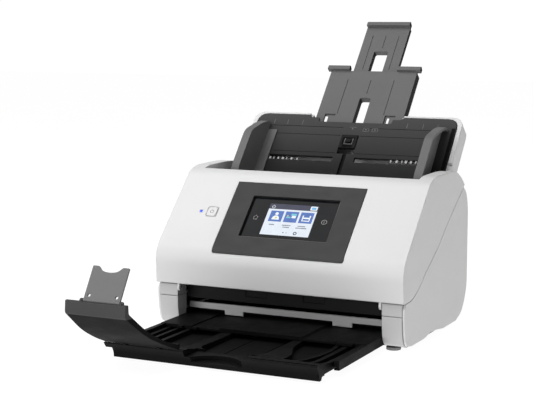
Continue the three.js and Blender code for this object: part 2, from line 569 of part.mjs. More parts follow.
// ---------------------------------------------------------------- input tray
// x across, y up the tray, z out of its face
const inputTray = new THREE.Group()
inputTray.position.set(0, TRAY_FOOT.y, TRAY_FOOT.z)
inputTray.rotation.x = TRAY_TILT
scanner.add(inputTray)
const NOTCH_HALF = 58
const NOTCH_DEEP = 3.5
const NOTCH_INNER_HALF = 47
const NOTCH_INNER_DEEP = 9.5
const plateOutline = [
  [-TRAY_HALF, 2], [TRAY_HALF, 2], [TRAY_HALF, TRAY_LENGTH, 12], [NOTCH_HALF + 3, TRAY_LENGTH, 2],
  [NOTCH_HALF, TRAY_LENGTH - NOTCH_DEEP, 2], [NOTCH_INNER_HALF + 1, TRAY_LENGTH - NOTCH_DEEP, 1],
  [NOTCH_INNER_HALF, TRAY_LENGTH - NOTCH_INNER_DEEP, 1],
  [-NOTCH_INNER_HALF, TRAY_LENGTH - NOTCH_INNER_DEEP, 1],
  [-NOTCH_INNER_HALF - 1, TRAY_LENGTH - NOTCH_DEEP, 1], [-NOTCH_HALF, TRAY_LENGTH - NOTCH_DEEP, 2],
  [-NOTCH_HALF - 3, TRAY_LENGTH, 2], [-TRAY_HALF, TRAY_LENGTH, 12]
]
const LOCK = { halfWidth: 10.5, low: 73, high: 92 }
const guideSlots = SIDES.map(([, sign]) => box(...span(sign, 14, 107), SLOT_LOW, SLOT_HIGH,
  -TRAY_PLATE - 1, 1))
const lockWell = box(-LOCK.halfWidth - GAP, LOCK.halfWidth + GAP, LOCK.low - 8, LOCK.high + GAP,
  -TRAY_PLATE - 1, 1)
const CENTRE_GROOVE = { halfWidth: 2.4, depth: 2.2 }
const centreGroove = box(-CENTRE_GROOVE.halfWidth, CENTRE_GROOVE.halfWidth, 1, LOCK.low - 7,
  -CENTRE_GROOVE.depth, 1)
const STEP_LINES = [[104, 0.8], [92, 0.6], [66, 0.5]] // [y, depth]
const stepLines = STEP_LINES.flatMap(([y, depth]) => SIDES.map(([, sign]) =>
  box(...span(sign, LOCK.halfWidth + 2, TRAY_HALF - 16), y - 0.7, y, -depth, 1)))
const trayPlate = cut(alongZ(plateOutline, -TRAY_PLATE, 0), ...guideSlots, lockWell, centreGroove,
  ...stepLines)
piece(inputTray, 'input_tray_plate', trayPlate, CHARCOAL)

const WAIST = 50
function shellOutline(grow) {
  const foot = TRAY_HALF + grow * 0.2
  const wide = TRAY_SHELL_HALF - 6.5 + grow
  const top = TRAY_LENGTH + grow * 0.4
  return [
    [-foot, 2], [foot, 2], [foot, WAIST, 3], [wide, WAIST + 6, 3],
    [wide, top, 14], [-wide, top, 14], [-wide, WAIST + 6, 3], [-foot, WAIST, 3]
  ]
}
const EXT1_HALF = 57
const extensionWell = box(-EXT1_HALF - 1, EXT1_HALF + 1, 30, TRAY_LENGTH + 9, -TRAY_DEPTH + 2.4, 2)
const trayShell = cut(alongZ(shellOutline(6.5), -TRAY_DEPTH, -TRAY_PLATE - GAP),
  box(-TRAY_HALF + 4, TRAY_HALF - 4, 5, TRAY_LENGTH - 4, -TRAY_DEPTH + 2.4, 2), extensionWell)
const shellRim = cut(alongZ(shellOutline(6.5), -TRAY_PLATE - GAP - 0.5, 0),
  alongZ(shellOutline(1.4), -TRAY_DEPTH, 2),
  box(-NOTCH_HALF - 3, NOTCH_HALF + 3, 60, 200, -TRAY_DEPTH, 2),
  box(-200, 200, -10, WAIST + 8, -TRAY_DEPTH, 2))
piece(inputTray, 'input_tray_shell', join(trayShell, shellRim), WHITE)

// ---------------------------------------------------------------- edge guides, moved by a pinion
const GUIDE_EDGE = [[6, GUIDE_HEIGHT - 3, 3], [14, GUIDE_HEIGHT, 3], [68, GUIDE_HEIGHT, 8],
  [92, 20, 4], [104, 8, 3]]
const GUIDE_EDGE_INNER = [[101, 7, 3], [90, 17.4, 4], [67, 35.2, 8], [14, 35.2, 2], [8.6, 33]]
const RACK_LINE = (SLOT_LOW + SLOT_HIGH) / 2
const RACK_LOW = -TRAY_PLATE - 4.4
const RACK_TOP = -TRAY_PLATE - 1
const RACK_REACH = 20 // how far a rack runs past the pinion at rest
for (const [side, sign] of SIDES) {
  const guide = new THREE.Group()
  inputTray.add(guide)
  const wall = alongX([[6, 0.4], ...GUIDE_EDGE, [106, 0.4]], ...span(sign, GUIDE_FACE, GUIDE_FACE + 3))
  const rim = alongX([[6, 0.4], ...GUIDE_EDGE, [106, 0.4], [103, 0.4], ...GUIDE_EDGE_INNER, [8.6, 0.4]],
    ...span(sign, GUIDE_FACE + 1, GUIDE_FACE + 10))
  const foot = box(...span(sign, GUIDE_FACE - 12, GUIDE_FACE + 1), 8, 96, 0.4, 1.8)
  const lane = RACK_LINE - sign * 1.2
  const rackSide = RACK_LINE - sign * (RACK_PITCH_RADIUS + 2.8)
  const bridgeY = [Math.min(lane, rackSide), Math.max(lane, rackSide)]
  const stemY = [Math.min(lane, lane - sign * 1.8), Math.max(lane, lane - sign * 1.8)]
  const rackY = [Math.min(rackSide, rackSide + sign * 2.8), Math.max(rackSide, rackSide + sign * 2.8)]
  const stem = box(...span(sign, GUIDE_FACE - 12, GUIDE_FACE - 4), ...stemY, RACK_LOW + 1, 1)
  const bridge = box(...span(sign, GUIDE_FACE - 12, GUIDE_FACE - 4), ...bridgeY, RACK_LOW, RACK_TOP)
  const rack = box(...span(sign, -RACK_REACH, GUIDE_FACE - 4), ...rackY, RACK_LOW, RACK_TOP)
  piece(guide, `${side}_edge_guide`, join(wall, rim, foot, stem, bridge, rack), GREY)
}
piece(inputTray, 'guide_pinion', rodZ(0, RACK_LINE, RACK_PITCH_RADIUS - GAP, RACK_LOW, RACK_TOP, 24),
  BLACK)
const lockBody = box(-LOCK.halfWidth, LOCK.halfWidth, LOCK.low, LOCK.high, -TRAY_PLATE, 1.4)
const lockHollow = box(-LOCK.halfWidth + 3, LOCK.halfWidth - 3, LOCK.low + 5, LOCK.high - 4, 0.2, 3)
const lockGrip = box(-3.5, 3.5, LOCK.low + 8, LOCK.high - 6.5, 0, 2.6)
piece(inputTray, 'guide_lock', join(cut(lockBody, lockHollow), lockGrip), BLACK)

// ---------------------------------------------------------------- pull-out extensions of the input tray
function extension(shape) {
  // a pull-out plate whose front face is z = 0, with lips standing forward at its upper edge
  const { half, low, high, thick, lips, lipForward, lipHigh, railDepth, slot, slotRim, rimDepth } = shape
  const plate = alongZ([[-half, low, 2], [half, low, 2], [half, high + 2, 1], [-half, high + 2, 1]],
    -thick, 0)
  const lipProfile = [
    [high, -thick], [high, lipForward], [lipHigh - 0.4, lipForward - 0.8, 0.3], [lipHigh, lipForward - 2],
    [lipHigh - 1.6, -thick]
  ]
  const lipSolids = lips.map(([x0, x1]) => alongX(lipProfile, x0, x1))
  const rails = [1.2 - half, half - 1.2].map((x) =>
    box(x - 1.2, x + 1.2, low + 2, high - 1, -thick - railDepth, -thick + 0.2))
  const rim = box(slot.x0 - slotRim, slot.x1 + slotRim, Math.max(slot.y0 - slotRim, low), slot.y1 + slotRim,
    -thick - rimDepth, -thick + 0.2)
  const slotOutline = [[slot.x0, slot.y0], [slot.x1, slot.y0], [slot.x1, slot.y1, 3], [slot.x0, slot.y1, 3]]
  const slotTool = alongZ(slotOutline, -thick - rimDepth - 1, 9, 6)
  const grooveTools = shape.grooves.map(([x, y0, y1]) => box(x - 0.5, x + 0.5, y0, y1, -0.6, 1))
  const openingTools = shape.openings.map((sides) => box(...sides, -thick - 1, 1))
  const recessTools = shape.recesses.map((sides) => box(...sides, -1.7, 1))
  const betweenLips = box(lips[0][1], lips[lips.length - 1][0], high, lipHigh + 4, -thick - 1, lipForward + 1)
  const body = lips.length > 1 ? cut(plate, betweenLips) : plate
  const whole = join(body, ...lipSolids, ...rails, rim)
  return cut(whole, slotTool, ...grooveTools, ...openingTools, ...recessTools)
}
const EXT1_FRONT = RACK_LOW - 0.5
const EXT_THICK = 2.6
const EXT2_FRONT = EXT1_FRONT - EXT_THICK - 0.4
const HOOK = { outer: 46, inner: 32.5, low: 112, high: 129.5, hole: 4 } // notches beside the slot
const extension1 = extension({
  half: EXT1_HALF, low: 98, high: 197.5, thick: EXT_THICK, railDepth: 8.4, lipForward: 3.9, lipHigh: 204,
  lips: [[-EXT1_HALF - 4.5, -32], [32, EXT1_HALF + 4.5]],
  grooves: [[-30.5, 130, 183.5], [0, 162, 183.5], [30.5, 130, 183.5]],
  slot: { x0: -7.2, x1: 7.2, y0: 112, y1: 155.5 }, slotRim: 1.2, rimDepth: 6.4,
  openings: [[-HOOK.outer, -HOOK.outer + HOOK.hole, HOOK.low, HOOK.high - 2.4],
    [HOOK.inner + 2.6, HOOK.inner + 2.6 + HOOK.hole, HOOK.low, HOOK.high - 2.4]],
  recesses: [
    [-HOOK.outer + HOOK.hole - 0.2, -HOOK.outer + HOOK.hole + 1.4, HOOK.low, HOOK.high],
    [-HOOK.outer, -HOOK.inner, HOOK.high - 2.6, HOOK.high],
    [HOOK.inner, HOOK.inner + 2.8, HOOK.low, HOOK.high],
    [HOOK.inner, HOOK.outer, HOOK.high - 2.6, HOOK.high]
  ]
})
piece(inputTray, 'input_extension_1', extension1.translate(0, 0, EXT1_FRONT), GREY)
const EXT2_HALF = 29
const extension2 = extension({
  half: EXT2_HALF, low: 172, high: 271, thick: EXT_THICK, railDepth: 3, lipForward: 4.9, lipHigh: 277.5,
  lips: [[-EXT2_HALF, EXT2_HALF]],
  grooves: [[-17.5, 203, 257.3], [0, 237, 257.3], [17.5, 203, 257.3]],
  slot: { x0: -9.4, x1: 9.4, y0: 171, y1: 231.7 }, slotRim: 1.2, rimDepth: 5,
  openings: [], recesses: []
})
piece(inputTray, 'input_extension_2', extension2.translate(0, 0, EXT2_FRONT), GREY)

// ---------------------------------------------------------------- output tray, sliding in the pan's well
const outputTray = new THREE.Group()
scanner.add(outputTray)
const DECK_CENTRE_HALF = 48
const DECK_VALLEY_HALF = 84
const GROOVE = [8.4, 11]
const DECK_PRONGS = [[-96, 2.6], [-78, 2.6], [98, 9]] // [x, half width]
const deckSide = (sign) => span(sign, DECK_VALLEY_HALF, TRAY_RAIL_OUTER)
const deckCentre = alongY([
  [-DECK_CENTRE_HALF - 2.5, DECK_VALLEY - 0.5], [DECK_CENTRE_HALF + 2.5, DECK_VALLEY - 0.5],
  [DECK_CENTRE_HALF, DECK_TOP], [-DECK_CENTRE_HALF, DECK_TOP]
], DECK_FRONT, OUTPUT_REAR)
const deck = [
  box(-TRAY_RAIL_OUTER, TRAY_RAIL_OUTER, DECK_FRONT, OUTPUT_REAR, DECK_VALLEY - 2.2, DECK_VALLEY),
  deckCentre,
  ...SIDES.map(([, sign]) =>
    box(...deckSide(sign), DECK_FRONT, OUTPUT_REAR, DECK_VALLEY - 0.5, DECK_TOP - 0.8)),
  ...DECK_PRONGS.map(([x, halfWidth]) =>
    box(x - halfWidth, x + halfWidth, DECK_FRONT - 3.6, DECK_FRONT + 1, DECK_VALLEY - 1.8, DECK_VALLEY + 0.8))
]
const trayRails = SIDES.map(([, sign]) =>
  box(...span(sign, TRAY_RAIL_INNER, TRAY_RAIL_OUTER), RAIL_FRONT, OUTPUT_REAR, RAIL_LOW, RAIL_TOP))
const railGrooves = SIDES.map(([, sign]) =>
  box(...span(sign, TRAY_RAIL_INNER - 1, TRAY_RAIL_INNER + 3), RAIL_FRONT - 1, OUTPUT_REAR + 1, ...GROOVE))
piece(outputTray, 'output_tray', cut(join(...deck, ...trayRails), ...railGrooves), BLACK)

const TAB_HEIGHTS = [8.7, 10.6] // runners in the rail grooves
const EXT_LOW = 6.6
const EXT_CEILING = DECK_VALLEY - 2.2 - GAP
const EXT_FLOOR = 8
const EXT_BLOCK_FRONT = -252
const RIB_RISE_Y = RAIL_FRONT + 37 // in front of this the ribs never slide under the deck
// the ribs' and the front block's height along y
const heightProfile = [
  [EXT_REAR, EXT_LOW], [EXT_REAR, EXT_CEILING], [RIB_RISE_Y, EXT_CEILING, 20], [-226, 15, 20],
  [-247, EXT_LIP_TOP, 3], [EXT_BLOCK_FRONT, EXT_LIP_TOP], [EXT_BLOCK_FRONT, EXT_LOW]
]
const lowProfile = [
  [EXT_REAR, EXT_LOW], [EXT_REAR, EXT_CEILING], [-240, EXT_CEILING, 3], [-246, EXT_LIP_TOP - 1, 2],
  [EXT_BLOCK_FRONT, EXT_LIP_TOP], [EXT_BLOCK_FRONT, EXT_LOW]
]
const LOW_PART = [-EXT_HALF, -46] // the folded flap and stopper lie over this part
const NOTCH = { x: 4, y: -270, radius: 34 }
const pocketOutlines = [
  [[-34, -228, 24], [39, -228, 24], [39, -190, 60], [38, EXT_REAR + 1], [-34, EXT_REAR + 1]],
  [[67, -232, 6], [80, -232, 6], [91, -182, 60], [83, EXT_REAR + 1], [48, EXT_REAR + 1],
    [50, -170, 50], [66, -205, 40]],
  [[85, -234, 4], [97, -236, 4], [96, EXT_REAR + 1], [88, EXT_REAR + 1], [95.4, -182, 60]],
  [[102, -236, 3.4], [109, -236, 3.4], [109, EXT_REAR + 1], [102, EXT_REAR + 1]],
  [[-84, -232, 12], [-48, -232, 12], [-46, EXT_REAR + 1], [-84, EXT_REAR + 1]],
  [[-98, -235, 4.4], [-89, -235, 4.4], [-89, EXT_REAR + 1], [-98, EXT_REAR + 1]],
  [[-109, -235, 3.4], [-102, -235, 3.4], [-102, EXT_REAR + 1], [-109, EXT_REAR + 1]]
]
const pockets = pocketOutlines.map((points) => alongZ(points, EXT_FLOOR, 30, 8))
const lipProfile = [
  [-250.5, 3.2], [-246.5, 3.2], [-244.6, EXT_LOW], [-238, EXT_LOW], [-246, 14.6, 6], [-251, 17.6, 4],
  [-254.8, EXT_LIP_TOP, 0.6], [EXT_LIP_FRONT, EXT_LIP_TOP - 0.6, 0.6], [-254, 14, 8], [-251, 8.5, 5]
]
const fingerNotch = rodZ(NOTCH.x, NOTCH.y, NOTCH.radius, EXT_LOW + 1.4, 40, 72)
const notchRoof = box(-31, 38, -262, -226, EXT_CEILING - 0.4, 40) // lowers the band behind the notch
const extensionTabs = SIDES.map(([, sign]) =>
  box(...span(sign, EXT_HALF - 1, TRAY_RAIL_INNER + 2.4), RAIL_FRONT + 6, EXT_REAR, ...TAB_HEIGHTS))
const FLOOR_LINES = [[-9, -216], [27.5, -196]] // [x, front end]
const floorLines = FLOOR_LINES.map(([x, front]) =>
  box(x - 0.6, x + 0.6, front, EXT_REAR - 1, EXT_FLOOR - 0.6, EXT_FLOOR + 2))
const LUGS = [-98, -58]
const LUG_HALF = 1.6
const flapLugs = LUGS.map((x) => alongX([
  [-255, 17], [-259.4, 20], [-259.6, 24, 2], [-257, 26.4, 2], [-254, 25, 2], [-252, 17]
], x - LUG_HALF, x + LUG_HALF))
const FLAP_PIN_R = 1.2
const flapPinHole = rodX(FLAP_HINGE.y, FLAP_HINGE.z, FLAP_PIN_R + 0.2, -130, -30, 16)
const narrowing = SIDES.map(([, sign]) =>
  box(...span(sign, EXT_LIP_NARROW, -EXT_LIP_LEFT + 1), RAIL_FRONT - 36.8, RAIL_FRONT, 0, 30))
const extensionLip = cut(alongX(lipProfile, EXT_LIP_LEFT, EXT_LIP_RIGHT, 6), ...narrowing)
const raisedPart = alongX(heightProfile, LOW_PART[1], EXT_HALF, 8)
const lowPart = alongX(lowProfile, ...LOW_PART, 8)
const extensionBody = cut(join(raisedPart, lowPart, extensionLip), ...pockets, ...floorLines,
  fingerNotch, notchRoof)
const outputExtension = cut(join(extensionBody, ...extensionTabs, ...flapLugs), flapPinHole)
const extensionGroup = new THREE.Group()
scanner.add(extensionGroup)
piece(extensionGroup, 'output_extension', outputExtension, BLACK)
piece(extensionGroup, 'flap_hinge_pin',
  rodX(FLAP_HINGE.y, FLAP_HINGE.z, FLAP_PIN_R, FLAP_LEFT + 1, FLAP_RIGHT - 1, 16), STEEL)

// flap: a scooped plate that carries long sheets, in (y, z) steps from its hinge
const FLAP_SCOOP = [
  [-2, -2.8], [-20, 4.6, 8], [-45, 17.6, 20], [-66, 34.6, 8], [-74.4, 41.4, 2], [-73.4, 53.6, 1],
  [-69.4, 53.8, 1], [-69, 44.6, 2], [-62, 38.6, 6], [-44, 22.6, 20], [-20, 8.8, 8], [-3, 2.8],
  [2, 2.8, 1.6], [2.8, 0, 1.4], [2, -2.8, 1.6]
]
const flapProfile = FLAP_SCOOP.map(([dy, dz, r]) => [FLAP_HINGE.y + dy, FLAP_HINGE.z + dz, r])
const taperOutline = [[FLAP_RIGHT + 1, -261], [-50, -318, 12], [-54, -340], [-20, -340], [-20, -261]]
const taper = alongZ(taperOutline, 10, 100)
const lugClearance = LUGS.map((x) => box(x - LUG_HALF - GAP, x + LUG_HALF + GAP, -262.5, -250, 10, 30))
const stopperClearance = box(STOPPER_LEFT - GAP, STOPPER_RIGHT + GAP, -329, -321, 75, 90)
const STOPPER_PIN_R = 1
const stopperEars = [STOPPER_LEFT - 1.8, STOPPER_RIGHT + 1.8].map((x) => alongX([
  [-329, 74], [-328.4, 78, 2], [-325.5, 80, 2], [-323, 78, 2], [-322.6, 74]
], x - 1.4, x + 1.4))
const flapPlate = cut(alongX(flapProfile, FLAP_LEFT, FLAP_RIGHT, 7), taper, ...lugClearance,
  stopperClearance)
const flapBores = [
  rodX(FLAP_HINGE.y, FLAP_HINGE.z, FLAP_PIN_R + 0.2, -130, -30, 16),
  rodX(STOPPER_HINGE.y, STOPPER_HINGE.z, STOPPER_PIN_R + 0.15, -120, -50, 16)
]
const flapBody = cut(join(flapPlate, ...stopperEars), ...flapBores)
const flapGroup = new THREE.Group()
scanner.add(flapGroup)
piece(flapGroup, 'output_flap', flapBody, GREY)
piece(flapGroup, 'stopper_hinge_pin',
  rodX(STOPPER_HINGE.y, STOPPER_HINGE.z, STOPPER_PIN_R, STOPPER_LEFT - 3, STOPPER_RIGHT + 3, 16), STEEL)

// stopper: a tilted plate with a hollowed top edge, in its own frame with z up the plate
const STOPPER_LENGTH = 36.5
const STOPPER_TILT = THREE.MathUtils.degToRad(32)
const STOPPER_THICK = 2
const stopperMiddle = (STOPPER_LEFT + STOPPER_RIGHT) / 2
const stopperShape = outline([
  [STOPPER_LEFT, 0], [STOPPER_RIGHT, 0],
  [STOPPER_RIGHT, STOPPER_LENGTH, 1], [STOPPER_RIGHT - 7, STOPPER_LENGTH, 1],
  [STOPPER_RIGHT - 12, STOPPER_LENGTH - 5, 5], [stopperMiddle, STOPPER_LENGTH - 6.4, 8],
  [STOPPER_LEFT + 12, STOPPER_LENGTH - 5, 5], [STOPPER_LEFT + 7, STOPPER_LENGTH, 1],
  [STOPPER_LEFT, STOPPER_LENGTH, 1]
])
for (const x of [STOPPER_LEFT + 5, STOPPER_RIGHT - 5]) {
  stopperShape.holes.push(new THREE.Path().absarc(x, 5.4, 1.7, 0, 2 * Math.PI, true))
}
const stopperPlate = alongZ(stopperShape, -STOPPER_THICK / 2, STOPPER_THICK / 2, 6).rotateX(Math.PI / 2)
const stopperBarrel = rodX(0, 0, 1.9, STOPPER_LEFT, STOPPER_RIGHT, 20)
const stopperBore = rodX(0, 0, STOPPER_PIN_R + 0.15, STOPPER_LEFT - 5, STOPPER_RIGHT + 5, 16)
const stopper = piece(scanner, 'paper_stopper', cut(join(stopperPlate, stopperBarrel), stopperBore), GREY)
stopper.position.set(0, STOPPER_HINGE.y, STOPPER_HINGE.z)
stopper.rotation.x = -STOPPER_TILT

scanner.position.y = FOOTPRINT_SHIFT
export default scanner
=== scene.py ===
"""Sheet fed document scanner: its looks, small details, light and camera."""
import json
import math
import bmesh
import bpy
from mathutils import Matrix, Vector


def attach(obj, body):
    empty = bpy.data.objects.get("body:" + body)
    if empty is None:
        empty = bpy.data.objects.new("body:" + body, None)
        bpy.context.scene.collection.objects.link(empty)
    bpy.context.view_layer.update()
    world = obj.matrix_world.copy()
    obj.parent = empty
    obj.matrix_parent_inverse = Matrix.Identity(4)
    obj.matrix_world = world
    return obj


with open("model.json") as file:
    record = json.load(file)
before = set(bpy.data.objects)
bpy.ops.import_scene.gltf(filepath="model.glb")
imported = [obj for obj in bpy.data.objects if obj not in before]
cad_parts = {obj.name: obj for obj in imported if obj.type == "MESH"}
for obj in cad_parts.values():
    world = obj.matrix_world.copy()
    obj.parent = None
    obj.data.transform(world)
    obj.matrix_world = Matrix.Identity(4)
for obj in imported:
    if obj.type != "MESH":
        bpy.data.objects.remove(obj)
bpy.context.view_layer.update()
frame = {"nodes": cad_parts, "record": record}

MM = 0.001
FOOTPRINT_SHIFT = 48.03  # the row's origin lies this far behind the housing's middle, in mm
NODES = frame["nodes"]


# ------------------------------------------------------------ frames, all in mm from the housing's middle
def frame_at(origin, tilt_deg):
    """A frame turned about X, as a matrix from millimetres in it to metres in the row frame."""
    shifted = Vector((origin[0], origin[1] + FOOTPRINT_SHIFT, origin[2])) * MM
    return Matrix.Translation(shifted) @ Matrix.Rotation(math.radians(tilt_deg), 4, "X") @ Matrix.Scale(MM, 4)


HOUSE = frame_at((0, 0, 0), 0)
SLOPE = frame_at((0, -90.5, 110.5), 45)  # control face: x across, y up the slope, z out of it
TRAY = frame_at((0, 43.5, 139.5), 49)  # input tray: x across, y up the tray, z out of its face
EXIT_SKIRT = frame_at((0, -84.5, 0), 90)  # exit guide's front: x across, y up, z forward out of it


# ------------------------------------------------------------ materials
def srgb(value):
    value /= 255
    return value / 12.92 if value <= 0.04045 else ((value + 0.055) / 1.055) ** 2.4


def tone(red, green, blue):
    return (srgb(red), srgb(green), srgb(blue), 1.0)


def grey(level):
    return tone(level, level, level)


class Nodes:
    """A material with a Principled shader and short calls for the nodes in front of it."""

    def __init__(self, name):
        self.material = bpy.data.materials.new(name)
        self.material.use_nodes = True
        self.tree = self.material.node_tree
        self.shader = self.tree.nodes["Principled BSDF"]
        self.place = self.add("ShaderNodeTexCoord").outputs["Object"]

    def add(self, kind):
        return self.tree.nodes.new(kind)

    def link(self, output, target):
        self.tree.links.new(output, target)

    def noise(self, scale, detail=3.0, roughness=0.5, stretch=None):
        node = self.add("ShaderNodeTexNoise")
        node.inputs["Scale"].default_value = scale
        node.inputs["Detail"].default_value = detail
        node.inputs["Roughness"].default_value = roughness
        place = self.place
        if stretch:
            mapping = self.add("ShaderNodeMapping")
            mapping.inputs["Scale"].default_value = stretch
            self.link(place, mapping.inputs["Vector"])
            place = mapping.outputs["Vector"]
        self.link(place, node.inputs["Vector"])
        return node.outputs["Fac"]

    def ramp(self, factor, low, high, start=0.3, end=0.7):
        node = self.add("ShaderNodeValToRGB")
        node.color_ramp.elements[0].position = start
        node.color_ramp.elements[0].color = low
        node.color_ramp.elements[1].position = end
        node.color_ramp.elements[1].color = high
        self.link(factor, node.inputs["Fac"])
        return node.outputs["Color"]

    def spread(self, factor, low, high, start=0.3, end=0.7):
        node = self.add("ShaderNodeMapRange")
        node.inputs["From Min"].default_value = start
        node.inputs["From Max"].default_value = end
        node.inputs["To Min"].default_value = low
        node.inputs["To Max"].default_value = high
        self.link(factor, node.inputs["Value"])
        return node.outputs["Result"]

    def bump(self, height, strength, distance, under=None):
        node = self.add("ShaderNodeBump")
        node.inputs["Strength"].default_value = strength
        node.inputs["Distance"].default_value = distance
        self.link(height, node.inputs["Height"])
        if under is not None:
            self.link(under, node.inputs["Normal"])
        return node.outputs["Normal"]


def scaled(colour, factor):
    return (min(1, colour[0] * factor), min(1, colour[1] * factor), min(1, colour[2] * factor), 1.0)


def across(m):
    """How far a face looks sideways: 0 facing front, back, up or down, and 1 facing left or right. It places
    painted light and painted shade on sideways faces.
    """
    normal = m.add("ShaderNodeTexCoord").outputs["Normal"]
    parts = m.add("ShaderNodeSeparateXYZ")
    m.link(normal, parts.inputs["Vector"])
    size = m.add("ShaderNodeMath")
    size.operation = "ABSOLUTE"
    m.link(parts.outputs["X"], size.inputs[0])
    return m.spread(size.outputs["Value"], low=0, high=1, start=0.45, end=0.8)


def rising(low, high):
    """A mask maker: 0 at the lower height in metres, growing to 1 at the upper one. Here it places painted
    light and shade by height.
    """
    def mask(m):
        parts = m.add("ShaderNodeSeparateXYZ")
        m.link(m.place, parts.inputs["Vector"])
        return m.spread(parts.outputs["Z"], low=0, high=1, start=low, end=high)
    return mask


def above(level, blur=0.0004):
    """A mask maker: 0 below a height in metres and 1 above it."""
    return rising(level - blur, level + blur)


def moulded(name, colour, roughness, grain, relief, variation, gloss, second=None, mask=across, edge=0.0):
    """Injection-moulded plastic: spark-eroded grain, faint flow streaks, uneven sheen.

    The second colour lies where the mask is 1; in this script every second colour is painted light and shade,
    set by a face's facing and by height. Edge is the radius that sharp edges seem to have, in metres.
    """
    m = Nodes(name)
    cloud = m.noise(9, detail=4, roughness=0.55)
    base = m.ramp(cloud, scaled(colour, 1 - variation), scaled(colour, 1 + variation))
    if second:
        mixer = m.add("ShaderNodeMix")
        mixer.data_type = "RGBA"
        m.link(mask(m), mixer.inputs["Factor"])
        m.link(base, mixer.inputs["A"])
        m.link(m.ramp(cloud, scaled(second, 1 - variation), scaled(second, 1 + variation)), mixer.inputs["B"])
        base = mixer.outputs["Result"]
    m.link(base, m.shader.inputs["Base Color"])
    patches = m.noise(45, detail=3, roughness=0.6, stretch=(1, 1, 2.2))
    m.link(m.spread(patches, roughness - 0.06, roughness + 0.07), m.shader.inputs["Roughness"])
    fine = m.noise(grain, detail=2, roughness=0.6)
    coarse = m.noise(grain * 0.3, detail=2, roughness=0.5)
    round_edge = None
    if edge:
        rounding = m.add("ShaderNodeBevel")
        rounding.samples = 4
        rounding.inputs["Radius"].default_value = edge
        round_edge = rounding.outputs["Normal"]
    under = m.bump(coarse, strength=relief * 0.5, distance=0.00006, under=round_edge)
    m.link(m.bump(fine, strength=relief, distance=0.00004, under=under), m.shader.inputs["Normal"])
    m.shader.inputs["Specular IOR Level"].default_value = gloss
    m.shader.inputs["IOR"].default_value = 1.49
    return m.material


def metal(name, colour, roughness, stretch):
    """Bright metal with drawn or turned marks along one direction."""
    m = Nodes(name)
    marks = m.noise(700, detail=3, roughness=0.6, stretch=stretch)
    m.link(m.ramp(marks, scaled(colour, 0.88), scaled(colour, 1.08)), m.shader.inputs["Base Color"])
    m.link(m.spread(marks, roughness - 0.08, roughness + 0.1), m.shader.inputs["Roughness"])
    m.link(m.bump(marks, strength=0.15, distance=0.00003), m.shader.inputs["Normal"])
    m.shader.inputs["Metallic"].default_value = 1.0
    return m.material


def soft_rubber(name, colour):
    m = Nodes(name)
    dust = m.noise(60, detail=4, roughness=0.65)
    m.link(m.ramp(dust, scaled(colour, 0.85), scaled(colour, 1.35)), m.shader.inputs["Base Color"])
    m.link(m.spread(dust, low=0.72, high=0.92), m.shader.inputs["Roughness"])
    pores = m.noise(2200, detail=2, roughness=0.5)
    m.link(m.bump(pores, strength=0.3, distance=0.00005), m.shader.inputs["Normal"])
    return m.material


def dark_glass(name):
    """Glossy black cover glass with faint smears."""
    m = Nodes(name)
    smear = m.noise(28, detail=5, roughness=0.7, stretch=(1, 3, 1))
    m.link(m.ramp(smear, tone(20, 21, 23), tone(28, 29, 31)), m.shader.inputs["Base Color"])
    m.link(m.spread(smear, low=0.06, high=0.17), m.shader.inputs["Roughness"])
    waviness = m.noise(6, detail=2, roughness=0.5)
    m.link(m.bump(waviness, strength=0.02, distance=0.0002), m.shader.inputs["Normal"])
    m.shader.inputs["Specular IOR Level"].default_value = 0.09
    return m.material


def lit(name, colour, strength=0.9, shade=0.1):
    """A part of the lit picture behind the glass, or a lamp lens: its light is its colour."""
    m = Nodes(name)
    cloud = m.noise(160, detail=2, roughness=0.5)
    m.link(m.ramp(cloud, scaled(colour, 0.05), scaled(colour, 0.08)), m.shader.inputs["Base Color"])
    glow = m.ramp(cloud, scaled(colour, 1 - shade), scaled(colour, 1 + shade))
    m.link(glow, m.shader.inputs["Emission Color"])
    m.shader.inputs["Specular IOR Level"].default_value = 0.2
    haze = m.noise(300, detail=2, roughness=0.5)
    m.link(m.spread(haze, low=0.2, high=0.32), m.shader.inputs["Roughness"])
    m.shader.inputs["Emission Strength"].default_value = strength
    return m.material


def printed(name, colour):
    """Screen-printed ink. The same flat paint also makes the painted shade strips and the painted highlight
    on the lock.
    """
    m = Nodes(name)
    wear = m.noise(500, detail=3, roughness=0.6)
    m.link(m.ramp(wear, scaled(colour, 0.85), scaled(colour, 1.1)), m.shader.inputs["Base Color"])
    m.link(m.spread(wear, low=0.5, high=0.65), m.shader.inputs["Roughness"])
    m.link(m.bump(wear, strength=0.1, distance=0.00002), m.shader.inputs["Normal"])
    m.shader.inputs["Specular IOR Level"].default_value = 0.06
    return m.material


def board(name):
    """Solder-masked circuit board with faint tracks."""
    m = Nodes(name)
    wave = m.add("ShaderNodeTexWave")
    wave.wave_type = "BANDS"
    wave.bands_direction = "Z"
    wave.inputs["Scale"].default_value = 120
    wave.inputs["Distortion"].default_value = 6
    wave.inputs["Detail"].default_value = 3
    m.link(m.place, wave.inputs["Vector"])
    mask_colour = m.ramp(wave.outputs["Fac"], tone(24, 78, 48), tone(40, 104, 66), start=0.45, end=0.55)
    m.link(mask_colour, m.shader.inputs["Base Color"])
    m.link(m.spread(m.noise(90), low=0.35, high=0.5), m.shader.inputs["Roughness"])
    m.link(m.bump(wave.outputs["Fac"], strength=0.2, distance=0.00003), m.shader.inputs["Normal"])
    return m.material


